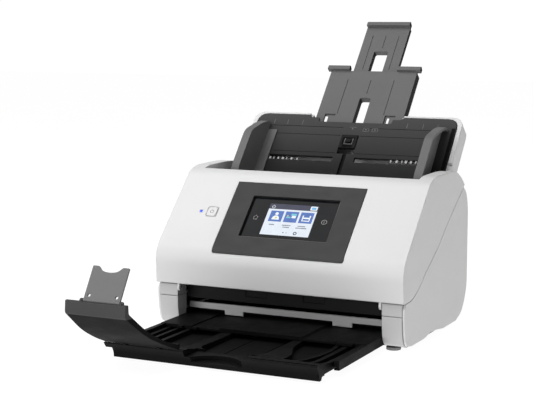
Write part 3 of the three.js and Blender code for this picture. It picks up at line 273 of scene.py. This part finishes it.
WHITE = moulded("white_shell_plastic", (0.76, 0.76, 0.76, 1), roughness=0.45, grain=1300, relief=0.16,
                variation=0.012, gloss=0.35, edge=0.0014)
# painted shade: the same white plastic as the shell, made darker for the front columns and hinge blocks
SHADED_COLUMN_WHITE = moulded("column_plastic_painted_shade", (0.58, 0.58, 0.58, 1), roughness=0.5, grain=1300, relief=0.16,
                       variation=0.012, gloss=0.25, edge=0.0012)
# painted highlight: the bezel's lower bend band, below 93 mm, stays the lighter grey(62); above 101 mm it is
# grey(49)
CHARCOAL = moulded("charcoal_panel_painted_bend_highlight", grey(62), roughness=0.42, grain=1700, relief=0.16,
                   variation=0.05, gloss=0.22, second=grey(49), mask=rising(0.093, 0.101), edge=0.0009)
# painted highlight: a lighter charcoal for the lit lower and right lip of the display window
LIT_LIP_GREY = moulded("window_lip_painted_highlight", grey(96), roughness=0.42, grain=1700, relief=0.16,
                   variation=0.05, gloss=0.22)
# painted light: the tray plate goes from grey(44) low down to grey(80) near its top edge, between 170 and 235
# mm up
TRAY_GREY = moulded("tray_plate_painted_light_gradient", grey(44), roughness=0.62, grain=1200, relief=0.3,
                    variation=0.06, gloss=0.03, second=grey(80), mask=rising(0.17, 0.235), edge=0.0003)
# painted shade: the extensions' sideways faces are grey(24)
GREY = moulded("extension_plastic_painted_side_shade", grey(110), roughness=0.55, grain=1300, relief=0.25,
               variation=0.05, gloss=0.1, second=grey(24), edge=0.0003)
# painted light: the guides' sideways faces, which lie in shade, are lifted to grey(124)
GUIDE_GREY = moulded("edge_guide_painted_side_light", grey(112), roughness=0.5, grain=1300, relief=0.25,
                     variation=0.05, gloss=0.15, second=grey(124))
# painted highlight: above 62.8 mm the flap's top edge is grey(74)
FLAP_GREY = moulded("flap_painted_top_highlight", grey(26), roughness=0.6, grain=1300, relief=0.25,
                    variation=0.05, gloss=0.04, second=grey(74), mask=above(0.0628), edge=0.0005)
STOPPER_GREY = moulded("stopper_plastic", grey(116), roughness=0.5, grain=1300, relief=0.25,
                       variation=0.05, gloss=0.2)
BLACK = moulded("output_tray_plastic", grey(20), roughness=0.5, grain=1200, relief=0.3,
                variation=0.08, gloss=0.05, edge=0.0004)
INNER = moulded("inner_black_plastic", tone(24, 24, 25), roughness=0.55, grain=1000, relief=0.3,
                variation=0.1, gloss=0.1)
EXIT_GREY = moulded("exit_guide_plastic", tone(40, 40, 41), roughness=0.55, grain=1000, relief=0.3,
                    variation=0.08, gloss=0.1)
RUBBER = soft_rubber("roller_rubber", grey(38))
GLASS = dark_glass("panel_glass")
STEEL = metal("turned_steel", (0.62, 0.63, 0.65, 1), roughness=0.32, stretch=(0.2, 6, 6))
GOLD = metal("contact_gold", (0.85, 0.62, 0.25, 1), roughness=0.3, stretch=(6, 0.2, 6))
BOARD = board("circuit_board_mask")
PALE_RUBBER = soft_rubber("foot_rubber", grey(128))
INK = printed("pale_ink", grey(190))
# faint ink for the tray pictograms; also the painted highlight along the lock's edge
FAINT_INK_AND_HIGHLIGHT = printed("faint_ink_and_edge_highlight", grey(132))
SHADOW = printed("gap_shadow", grey(14))
DARK_INK = printed("dark_ink", tone(60, 62, 66))
BLUE_LAMP = lit("blue_lamp_lens", tone(44, 88, 240), strength=1.1)

SLOT_LOOKS = {
    "white_plastic": WHITE, "charcoal_plastic": CHARCOAL, "grey_plastic": GREY, "black_plastic": BLACK,
    "inner_black": INNER, "rubber": RUBBER, "dark_glass": GLASS, "steel": STEEL, "circuit_board": BOARD,
    "blue_light": BLUE_LAMP,
}
NODE_LOOKS = {
    "input_tray_plate": TRAY_GREY, "output_flap": FLAP_GREY, "paper_stopper": STOPPER_GREY,
    "left_edge_guide": GUIDE_GREY, "right_edge_guide": GUIDE_GREY, "guide_lock": INNER,
    "upper_paper_guide": EXIT_GREY,
    "left_front_column": SHADED_COLUMN_WHITE, "right_front_column": SHADED_COLUMN_WHITE,
    "left_hinge_block": SHADED_COLUMN_WHITE, "right_hinge_block": SHADED_COLUMN_WHITE,
    "rubber_foot_1": PALE_RUBBER, "rubber_foot_2": PALE_RUBBER, "rubber_foot_3": PALE_RUBBER,
    "rubber_foot_4": PALE_RUBBER,
}


# ------------------------------------------------------------ finishing of the carried-over pieces
SMOOTH_BELOW = 34  # degrees: flatter edges than this are shaded smooth
ROUND_ABOVE = 28  # degrees: steeper edges of the main pieces are rounded
SMALL_ROUND_ABOVE = 35  # degrees: the same for the small pieces built here
SAME_PLANE = 0.4  # degrees: facets this close in direction are one flat face
SAME_POINT = 0.000004  # metres: corners this close are one corner
PLAIN_ROUNDING = 0.00035  # metres, for every main piece without a rounding of its own


def dress(obj, material):
    obj.data.materials.clear()
    obj.data.materials.append(material)


def sharp_edge_group(limit_deg):
    """A node group that shades a mesh smooth except over edges steeper than the limit."""
    group = bpy.data.node_groups.new("smooth_below_angle", "GeometryNodeTree")
    group.interface.new_socket("Geometry", in_out="INPUT", socket_type="NodeSocketGeometry")
    group.interface.new_socket("Geometry", in_out="OUTPUT", socket_type="NodeSocketGeometry")
    start = group.nodes.new("NodeGroupInput")
    end = group.nodes.new("NodeGroupOutput")
    angle = group.nodes.new("GeometryNodeInputMeshEdgeAngle")
    steep = group.nodes.new("FunctionNodeCompare")
    steep.data_type = "FLOAT"
    steep.operation = "GREATER_THAN"
    steep.inputs["B"].default_value = math.radians(limit_deg)
    faces = group.nodes.new("GeometryNodeSetShadeSmooth")
    faces.domain = "FACE"
    faces.inputs["Shade Smooth"].default_value = True
    edges = group.nodes.new("GeometryNodeSetShadeSmooth")
    edges.domain = "EDGE"
    edges.inputs["Shade Smooth"].default_value = False
    group.links.new(start.outputs["Geometry"], faces.inputs["Geometry"])
    group.links.new(faces.outputs["Geometry"], edges.inputs["Geometry"])
    group.links.new(angle.outputs["Unsigned Angle"], steep.inputs["A"])
    group.links.new(steep.outputs["Result"], edges.inputs["Selection"])
    group.links.new(edges.outputs["Geometry"], end.inputs["Geometry"])
    return group


SHARP_EDGES = sharp_edge_group(SMOOTH_BELOW)


def finish_normals(obj):
    obj.modifiers.new("sharp_edges", "NODES").node_group = SHARP_EDGES
    normals = obj.modifiers.new("face_normals", "WEIGHTED_NORMAL")
    normals.weight = 80
    normals.keep_sharp = True


def round_edges(obj, width, above_deg):
    rounding = obj.modifiers.new("edge_rounding", "BEVEL")
    rounding.width = width
    rounding.segments = 2
    rounding.limit_method = "ANGLE"
    rounding.angle_limit = math.radians(above_deg)
    return rounding


def add_finish(obj, bevel):
    """Merges the flat facets, rounds the sharp edges and shades the curves smooth.

    A piece without rounding keeps its facets and only gets its corners joined and its curves shaded.
    """
    weld = obj.modifiers.new("weld", "WELD")
    weld.merge_threshold = SAME_POINT
    if not bevel:
        obj.modifiers.new("sharp_edges", "NODES").node_group = SHARP_EDGES
        return
    flat = obj.modifiers.new("flat_faces", "DECIMATE")
    flat.decimate_type = "DISSOLVE"
    flat.angle_limit = math.radians(SAME_PLANE)
    rounding = round_edges(obj, bevel, ROUND_ABOVE)
    rounding.use_clamp_overlap = True
    rounding.harden_normals = False
    rounding.miter_outer = "MITER_ARC"
    finish_normals(obj)
    smooth(obj.data)


def smooth(mesh):
    mesh.polygons.foreach_set("use_smooth", [True] * len(mesh.polygons))
    mesh.update()


BEVELS = {
    "cover_shell": 0.0007, "control_bezel": 0, "input_tray_shell": 0, "output_flap": 0,
    "input_tray_plate": 0, "input_extension_1": 0, "input_extension_2": 0,
    "output_tray": 0, "output_extension": 0, "upper_paper_guide": 0, "lower_paper_guide": 0,
    "base_pan": 0, "feed_roller": 0, "exit_roller": 0,
}
for entry in frame["record"]["subparts"]:
    node = NODES[entry["node"]]
    dress(node, NODE_LOOKS.get(entry["node"], SLOT_LOOKS[entry["material_slot"]]))
    add_finish(node, BEVELS.get(entry["node"], PLAIN_ROUNDING))


# ------------------------------------------------------------ small pieces built here
def piece(name, bm, body, material, bevel=0.0):
    """Turns a finished mesh into a named piece that rides on a body."""
    bmesh.ops.remove_doubles(bm, verts=bm.verts, dist=1e-7)
    bmesh.ops.recalc_face_normals(bm, faces=bm.faces)
    mesh = bpy.data.meshes.new(name)
    bm.to_mesh(mesh)
    bm.free()
    obj = bpy.data.objects.new(name, mesh)
    bpy.context.scene.collection.objects.link(obj)
    obj.data.materials.append(material)
    smooth(obj.data)
    if bevel:
        round_edges(obj, bevel, SMALL_ROUND_ABOVE)
    finish_normals(obj)
    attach(obj, body)
    return obj


def prism(bm, place, outline, low, high):
    """A closed prism from an outline in x, y between two heights, in the given frame."""
    bottom = [bm.verts.new(place @ Vector((x, y, low))) for x, y in outline]
    top = [bm.verts.new(place @ Vector((x, y, high))) for x, y in outline]
    bm.faces.new(list(reversed(bottom)))
    bm.faces.new(top)
    for i in range(len(outline)):
        k = (i + 1) % len(outline)
        bm.faces.new((bottom[i], bottom[k], top[k], top[i]))


def rounded(x0, x1, y0, y1, radius, steps=5):
    """A rectangle's outline with rounded corners."""
    points = []
    for cx, cy, start in ((x1 - radius, y1 - radius, 0), (x0 + radius, y1 - radius, 90),
                          (x0 + radius, y0 + radius, 180), (x1 - radius, y0 + radius, 270)):
        for i in range(steps + 1):
            a = math.radians(start + 90 * i / steps)
            points.append((cx + radius * math.cos(a), cy + radius * math.sin(a)))
    return points


def circle(x, y, radius, steps=28):
    turns = [2 * math.pi * i / steps for i in range(steps)]
    return [(x + radius * math.cos(turn), y + radius * math.sin(turn)) for turn in turns]


def stroke(bm, place, points, width, low, high, closed=False):
    """A raised line of one width through points, in the given frame."""
    count = len(points)
    left, right = [], []
    for i, (x, y) in enumerate(points):
        before = points[(i - 1) % count] if closed or i else points[i]
        after = points[(i + 1) % count] if closed or i < count - 1 else points[i]
        along = Vector((after[0] - before[0], after[1] - before[1])).normalized()
        side = Vector((-along.y, along.x)) * width / 2
        left.append((x + side.x, y + side.y))
        right.append((x - side.x, y - side.y))
    if not closed:
        prism(bm, place, left + right[::-1], low, high)
        return
    rows = [[bm.verts.new(place @ Vector((x, y, z))) for x, y in line]
            for line, z in ((left, high), (right, high), (right, low), (left, low))]
    for i in range(count):
        k = (i + 1) % count
        for a, b in ((0, 1), (1, 2), (2, 3), (3, 0)):
            bm.faces.new((rows[a][i], rows[a][k], rows[b][k], rows[b][i]))


def arc(x, y, radius, start, end, steps=20):
    """Points along part of a circle, between two angles in degrees."""
    turns = [math.radians(start + (end - start) * i / steps) for i in range(steps + 1)]
    return [(x + radius * math.cos(turn), y + radius * math.sin(turn)) for turn in turns]


# ---- the picture on the display
SCREEN_Z = -2.75  # the display glass lies this far under the control face
LCD = (-30.4, 28.2, 7.0, 49.8)  # left, right, low, high
BAR_LOW = 42.6
TILES = [(-26.4, -10.6), (-8.1, 7.7), (10.2, 26.0)]
TILE_LOW, TILE_HIGH = 25.4, 40.2
TILE_MIDDLES = [(left + right) / 2 for left, right in TILES]
PICTURE = {
    "ground": lit("picture_ground", tone(228, 236, 246), strength=0.92, shade=0.03),
    "bar": lit("picture_bar", tone(60, 62, 84)),
    "tile": lit("picture_tile", tone(84, 118, 190)),
    "white": lit("picture_white", tone(238, 244, 248), strength=0.95, shade=0.03),
    "teal": lit("picture_teal", tone(120, 205, 215)),
    "amber": lit("picture_amber", tone(220, 200, 110)),
    "sky": lit("picture_sky", tone(120, 190, 240)),
    "grey": lit("picture_grey", tone(84, 86, 104)),
    "dark": lit("picture_dark", tone(40, 44, 66)),
}


def screen_piece(name, colour, draw):
    bm = bmesh.new()
    draw(bm)
    piece(name, bm, "cover", PICTURE[colour])


def layer(level):
    """Heights of one picture layer over the glass."""
    return SCREEN_Z - 0.02, SCREEN_Z + 0.04 + 0.03 * level


def patch(left, right, low, high, radius, level):
    """A drawing call for one rounded patch of the picture."""
    return lambda bm: prism(bm, SLOPE, rounded(left, right, low, high, radius), *layer(level))


def draw_tiles(bm):
    for left, right in TILES:
        patch(left, right, TILE_LOW, TILE_HIGH, 0.6, 1)(bm)


def draw_white_icons(bm):
    first, second, third = TILE_MIDDLES
    low, high = layer(2)
    # a head and shoulders
    prism(bm, SLOPE, circle(first, 36.2, 2.0), low, high)
    prism(bm, SLOPE, [(first - 4.6, 28), (first + 4.6, 28), (first + 3.8, 31.6), (first + 1.6, 33.6),
                      (first - 1.6, 33.6), (first - 3.8, 31.6)], low, high)
    # a switch
    patch(second + 0.6, second + 5.6, 31.4, 34.6, 0.6, 2)(bm)
    # a tray with a sheet in it
    tray_sides = [(third - 4.2, 36), (third - 4.2, 28.6), (third + 4.2, 28.6), (third + 4.2, 36)]
    stroke(bm, SLOPE, tray_sides, width=1.6, low=low, high=high)
    patch(third - 3.4, third + 3.4, 31.4, 33.4, 0.4, 2)(bm)
    # a small house in the bar
    house = [(-27.6, 45.4), (-25.4, 47.8), (-23.2, 45.4), (-24, 45.4),
             (-24, 43.9), (-26.8, 43.9), (-26.8, 45.4)]
    stroke(bm, SLOPE, house, width=0.5, low=low, high=high, closed=True)


def draw_teal_icons(bm):
    middle = TILE_MIDDLES[1]
    patch(middle - 0.6, middle + 5.8, 34.8, 37.4, 0.4, 2)(bm)
    patch(middle - 5.8, middle - 0.4, 31.2, 33.0, 0.4, 2)(bm)


def draw_amber_icons(bm):
    prism(bm, SLOPE, circle(TILE_MIDDLES[0] + 0.4, 30.6, 1.3), *layer(3))
    prism(bm, SLOPE, circle(TILE_MIDDLES[1] - 4.4, 34.2, 1.0), *layer(2))


CAPTION_ROWS = ((6.6,), (11.2, 8.0), (10.0, 13.6))  # widths of the rows under each tile
CAPTION_TOP, CAPTION_STEP = 20.4, 2.6
BLOCK_STEP, BLOCK_WIDTH, BLOCK_HEIGHT = 1.3, 0.95, 1.3
DOT, LEFT_DOT, RING = (0.8, 11.0), (-3.0, 11.1), (11.2, 11.0)  # the row of signs at the display's foot


def draw_captions(bm):
    low, high = layer(2)
    for tile_middle, widths in zip(TILE_MIDDLES, CAPTION_ROWS):
        middle = tile_middle - 1.6
        for row, width in enumerate(widths):
            level = CAPTION_TOP - row * CAPTION_STEP
            for i in range(int(width / BLOCK_STEP)):
                start = middle - width / 2 + i * BLOCK_STEP
                block = rounded(start, start + BLOCK_WIDTH, level, level + BLOCK_HEIGHT, 0.2, steps=2)
                prism(bm, SLOPE, block, low, high)
    prism(bm, SLOPE, circle(*DOT, 0.55, steps=14), low, high)


def draw_dark_icons(bm):
    low, high = layer(2)
    stroke(bm, SLOPE, circle(*RING, 1.7, steps=22), width=1.0, low=low, high=high, closed=True)
    prism(bm, SLOPE, circle(*LEFT_DOT, 0.75, steps=16), low, high)


x0, x1, y0, y1 = LCD
screen_piece("display_ground", "ground", patch(x0, x1, y0, y1, 0.5, 0))
screen_piece("display_bar", "bar", patch(x0, x1, BAR_LOW, y1, 0.3, 1))
screen_piece("display_tiles", "tile", draw_tiles)
screen_piece("display_white_icons", "white", draw_white_icons)
screen_piece("display_teal_icons", "teal", draw_teal_icons)
screen_piece("display_amber_icons", "amber", draw_amber_icons)
screen_piece("display_key_ground", "white", patch(19.2, 27.4, 43.6, 49.0, 0.8, 2))
screen_piece("display_key_glyph", "sky", patch(20.6, 26.0, 44.6, 47.8, 0.6, 3))
screen_piece("display_captions", "grey", draw_captions)
screen_piece("display_dark_icons", "dark", draw_dark_icons)

# ---- painted highlight: a lighter strip on the lower and right lip of the display window, where its inner walls catch the light
WINDOW_LOW, WINDOW_LEFT, WINDOW_RIGHT, WINDOW_HIGH = 0.1, -52.4, 52.9, 56.6
bm = bmesh.new()
lit_lip_line = [(WINDOW_LEFT, WINDOW_LOW), (WINDOW_RIGHT, WINDOW_LOW), (WINDOW_RIGHT, WINDOW_HIGH)]
stroke(bm, SLOPE, lit_lip_line, width=0.5, low=-0.4, high=0.34)
piece("window_lip_highlight", bm, "cover", LIT_LIP_GREY, 0.0001)

# ---- home and help keys printed on the glass beside the display
KEY_INK = (SCREEN_Z - 0.02, SCREEN_Z + 0.05)
HOME_X, HOME_Y = -42.6, 29.4
HELP_X, HELP_Y = 40.6, 28.8
bm = bmesh.new()
home_key = [(HOME_X - 3.0, HOME_Y), (HOME_X, HOME_Y + 2.8), (HOME_X + 3.0, HOME_Y), (HOME_X + 2.0, HOME_Y),
            (HOME_X + 2.0, HOME_Y - 2.6), (HOME_X - 2.0, HOME_Y - 2.6), (HOME_X - 2.0, HOME_Y)]
stroke(bm, SLOPE, home_key, 0.4, *KEY_INK, closed=True)
stroke(bm, SLOPE, circle(HELP_X, HELP_Y, 3.0, steps=26), 0.4, *KEY_INK, closed=True)
prism(bm, SLOPE, circle(HELP_X, HELP_Y + 1.3, 0.34, steps=12), *KEY_INK)
help_stem = rounded(HELP_X - 0.26, HELP_X + 0.26, HELP_Y - 1.6, HELP_Y + 0.5, 0.1, steps=2)
prism(bm, SLOPE, help_stem, *KEY_INK)
piece("panel_side_keys", bm, "cover", INK)

# ---- power key mark, and the thin raised frame round the key
POWER_X, POWER_Y, POWER_FACE = -97.0, 31.0, 0.5
POWER_INK = (POWER_FACE - 0.05, POWER_FACE + 0.04)
bm = bmesh.new()
stroke(bm, SLOPE, arc(POWER_X, POWER_Y, 2.1, 125, 415), 0.45, *POWER_INK)
power_bar = rounded(POWER_X - 0.22, POWER_X + 0.22, POWER_Y + 0.6, POWER_Y + 2.9, 0.1, steps=2)
prism(bm, SLOPE, power_bar, *POWER_INK)
piece("power_mark", bm, "power_key", DARK_INK)

bm = bmesh.new()
key_frame = rounded(POWER_X - 6.7, POWER_X + 6.7, POWER_Y - 7.1, POWER_Y + 7.1, 2.6)
stroke(bm, SLOPE, key_frame, width=0.5, low=-0.3, high=0.22, closed=True)
piece("power_key_frame", bm, "cover", WHITE, 0.0001)

# ---- size marks on the input tray: pale blocks down in the two slots
MARK_ROWS = ((-1, 52.9, 56.8), (1, 56.2, 60.1))  # side, then a row clear of that side's guide stem
SLOT_MARKS = ((60, 1.6), (67.5, 2.6), (74, 1.2), (79, 3.2), (85, 2.4), (91, 1.6), (96, 3.0), (101.5, 1.6))
SLOT_FLOOR_INK = (-1.7, -1.1)
bm = bmesh.new()
for sign, low, high in MARK_ROWS:
    for x, width in SLOT_MARKS:
        middle = sign * x
        mark = rounded(middle - width / 2, middle + width / 2, low, high, 0.4, steps=2)
        prism(bm, TRAY, mark, *SLOT_FLOOR_INK)
piece("input_tray_marks", bm, "housing", INK)

# ---- faint ticks and paper signs near the tray's top edge
FACE_INK = (-0.05, 0.03)
SIZE_TICKS = (68, 88, 106)
TICK_LOW, TICK_HIGH, TICK_HALF = 106, 113, 0.2
PAPER_SIGNS = (17.5, 29.0)
bm = bmesh.new()
for sign in (-1, 1):
    for x in SIZE_TICKS:
        middle = sign * x
        tick = rounded(middle - TICK_HALF, middle + TICK_HALF, TICK_LOW, TICK_HIGH, 0.1, steps=2)
        prism(bm, TRAY, tick, *FACE_INK)
for x in PAPER_SIGNS:
    stroke(bm, TRAY, rounded(x - 3.6, x + 3.6, 99.0, 103.6, 0.5, steps=2), 0.35, *FACE_INK, closed=True)
    prism(bm, TRAY, [(x - 1.1, 102.2), (x + 1.1, 102.2), (x, 100.4)][::-1], *FACE_INK)
stroke(bm, TRAY, [(-4.4, 104.6), (4.4, 104.6)], 0.35, *FACE_INK)
prism(bm, TRAY, [(-1.2, 101.6), (1.2, 101.6), (0, 103.4)], *FACE_INK)
piece("input_tray_pictograms", bm, "housing", FAINT_INK_AND_HIGHLIGHT)

# ---- painted shade: dark strips where the plate meets the shell's side rims, standing in for the shadow in those gaps
PLATE_SHADE_STRIPS = ((-128.6, -124.0), (124.0, 128.6))
SHADE_STRIP_LOW, SHADE_STRIP_HIGH = 12, 108
bm = bmesh.new()
for left, right in PLATE_SHADE_STRIPS:
    prism(bm, TRAY, rounded(left, right, SHADE_STRIP_LOW, SHADE_STRIP_HIGH, 0.4, steps=2), low=-0.05, high=0.04)
piece("plate_side_painted_shade", bm, "housing", SHADOW)

# ---- painted shade in the slit below the lock, a painted highlight along the lock's edge, and the ridges on its slider
SLIT_HALF, SLIT_LOW, SLIT_HIGH = 2.3, 1.4, 65.8
SLIT_FLOOR = -2.3
bm = bmesh.new()
prism(bm, TRAY, rounded(-SLIT_HALF, SLIT_HALF, SLIT_LOW, SLIT_HIGH, 0.3, steps=2), low=SLIT_FLOOR, high=-2.0)
piece("centre_slit_painted_shade", bm, "housing", SHADOW)

# painted highlight: a pale line along three sides of the lock, where its edge catches the light
LOCK_FLOOR = 0.2
bm = bmesh.new()
lock_sides = [(-5, 87.6), (-5, 79.2), (5, 79.2), (5, 87.6)]
stroke(bm, TRAY, lock_sides, width=0.7, low=LOCK_FLOOR - 0.1, high=LOCK_FLOOR + 0.3)
piece("lock_edge_highlight", bm, "lock", FAINT_INK_AND_HIGHLIGHT)

RIDGES, RIDGE_START, RIDGE_STEP, RIDGE_WIDTH = 4, 74.0, 0.9, 0.4
bm = bmesh.new()
for i in range(RIDGES):
    y = RIDGE_START + i * RIDGE_STEP
    prism(bm, TRAY, rounded(-6.4, 6.4, y, y + RIDGE_WIDTH, 0.15, steps=2), low=1.3, high=1.75)
piece("lock_ridges", bm, "lock", BLACK, 0.00008)

# ---- painted shade: dark lines round two recessed tabs on the black exit guide
EXIT_TABS = ((-47, -21), (23, 49))
EXIT_TAB_LOW, EXIT_TAB_HIGH = 42, 51.5
bm = bmesh.new()
for left, right in EXIT_TABS:
    tab_edge = [(left, EXIT_TAB_HIGH), (left, EXIT_TAB_LOW), (right, EXIT_TAB_LOW), (right, EXIT_TAB_HIGH)]
    stroke(bm, EXIT_SKIRT, tab_edge, width=0.7, low=-0.6, high=0.12)
piece("exit_tab_painted_shade", bm, "cover", SHADOW)

# ---- the eight contacts in the network socket
CONTACTS, FIRST_CONTACT, CONTACT_STEP, CONTACT_HALF = 8, -36 - 3.57, 1.02, 0.2
CONTACT_FRONT, CONTACT_BACK = 96.6, 104.4
bm = bmesh.new()
for i in range(CONTACTS):
    x = FIRST_CONTACT + i * CONTACT_STEP
    contact = rounded(x - CONTACT_HALF, x + CONTACT_HALF, CONTACT_FRONT, CONTACT_BACK, 0.1, steps=2)
    prism(bm, HOUSE, contact, low=56.4, high=57.2)
piece("network_contacts", bm, "housing", GOLD)

# ------------------------------------------------------------ floor, light and camera
FLOOR_GLOW = 0.96
FLOOR_HALF = 6.0
FLOOR_DROP = 0.0003  # keeps the floor's face clear of the feet
floor_mesh = bpy.data.meshes.new("studio_floor")
bm = bmesh.new()
bmesh.ops.create_grid(bm, x_segments=8, y_segments=8, size=FLOOR_HALF)
bm.to_mesh(floor_mesh)
bm.free()
floor = bpy.data.objects.new("studio_floor", floor_mesh)
bpy.context.scene.collection.objects.link(floor)
floor_look = Nodes("studio_floor_paint")
floor_paint = floor_look.ramp(floor_look.noise(1.2), (0.12, 0.12, 0.12, 1), (0.14, 0.14, 0.14, 1))
floor_look.link(floor_paint, floor_look.shader.inputs["Base Color"])
floor_look.shader.inputs["Roughness"].default_value = 1.0
floor_look.shader.inputs["Specular IOR Level"].default_value = 0.0
floor_look.shader.inputs["Emission Color"].default_value = (1.0, 1.0, 1.0, 1)
floor_look.shader.inputs["Emission Strength"].default_value = FLOOR_GLOW
floor.data.materials.append(floor_look.material)
floor.location.z = -FLOOR_DROP

scene = bpy.context.scene
VIEW_AZIMUTH, VIEW_ELEVATION = 25.8, 7.5  # the camera's place round the machine, in degrees
SKY_DIM, SKY_BRIGHT = 0.2, 1.02
BACKDROP_EDGE, BACKDROP_FULL = 0.75, 0.93  # cosines of the angle from the backdrop's middle


def studio_world():
    """A dim surround with a white backdrop behind the machine."""
    world = bpy.data.worlds.new("studio_world")
    world.use_nodes = True
    nodes, links = world.node_tree.nodes, world.node_tree.links
    place = nodes.new("ShaderNodeTexCoord")
    facing = nodes.new("ShaderNodeVectorMath")
    facing.operation = "DOT_PRODUCT"
    azimuth = math.radians(VIEW_AZIMUTH)
    facing.inputs[1].default_value = (-math.sin(azimuth), math.cos(azimuth), 0.0)
    spread = nodes.new("ShaderNodeMapRange")
    spread.interpolation_type = "SMOOTHSTEP"
    spread.inputs["From Min"].default_value = BACKDROP_EDGE
    spread.inputs["From Max"].default_value = BACKDROP_FULL
    spread.inputs["To Min"].default_value = SKY_DIM
    spread.inputs["To Max"].default_value = SKY_BRIGHT
    links.new(place.outputs["Generated"], facing.inputs[0])
    links.new(facing.outputs["Value"], spread.inputs["Value"])
    links.new(spread.outputs["Result"], nodes["Background"].inputs["Strength"])
    nodes["Background"].inputs["Color"].default_value = (1.0, 1.0, 1.0, 1)
    return world


scene.world = studio_world()


def area_light(name, location, target, size, power):
    data = bpy.data.lights.new(name, "AREA")
    data.shape = "DISK"
    data.size = size
    data.energy = power
    obj = bpy.data.objects.new(name, data)
    obj.location = location
    aim = Vector(target) - Vector(location)
    obj.rotation_euler = aim.to_track_quat("-Z", "Y").to_euler()
    scene.collection.objects.link(obj)


LIGHT_TARGET = (0, 0, 0.1)
area_light("key_light", (-0.65, -0.6, 1.8), LIGHT_TARGET, size=2.2, power=31)
area_light("fill_light", (-0.9, -1.9, 0.45), LIGHT_TARGET, size=1.2, power=12)

CAMERA_AT = Vector((641.357, -1454.965 + FOOTPRINT_SHIFT, 352.258)) * MM
SENSOR = 36
FOCAL_RATIO = 1402 / 533  # focal length over the frame's width
camera_data = bpy.data.cameras.new("camera")
camera_data.sensor_width = SENSOR
camera_data.lens = SENSOR * FOCAL_RATIO
camera = bpy.data.objects.new("camera", camera_data)
camera.location = CAMERA_AT
camera.rotation_euler = (math.radians(90 - VIEW_ELEVATION), 0, math.radians(VIEW_AZIMUTH))
scene.collection.objects.link(camera)
scene.camera = camera
scene.view_settings.view_transform = "Standard"
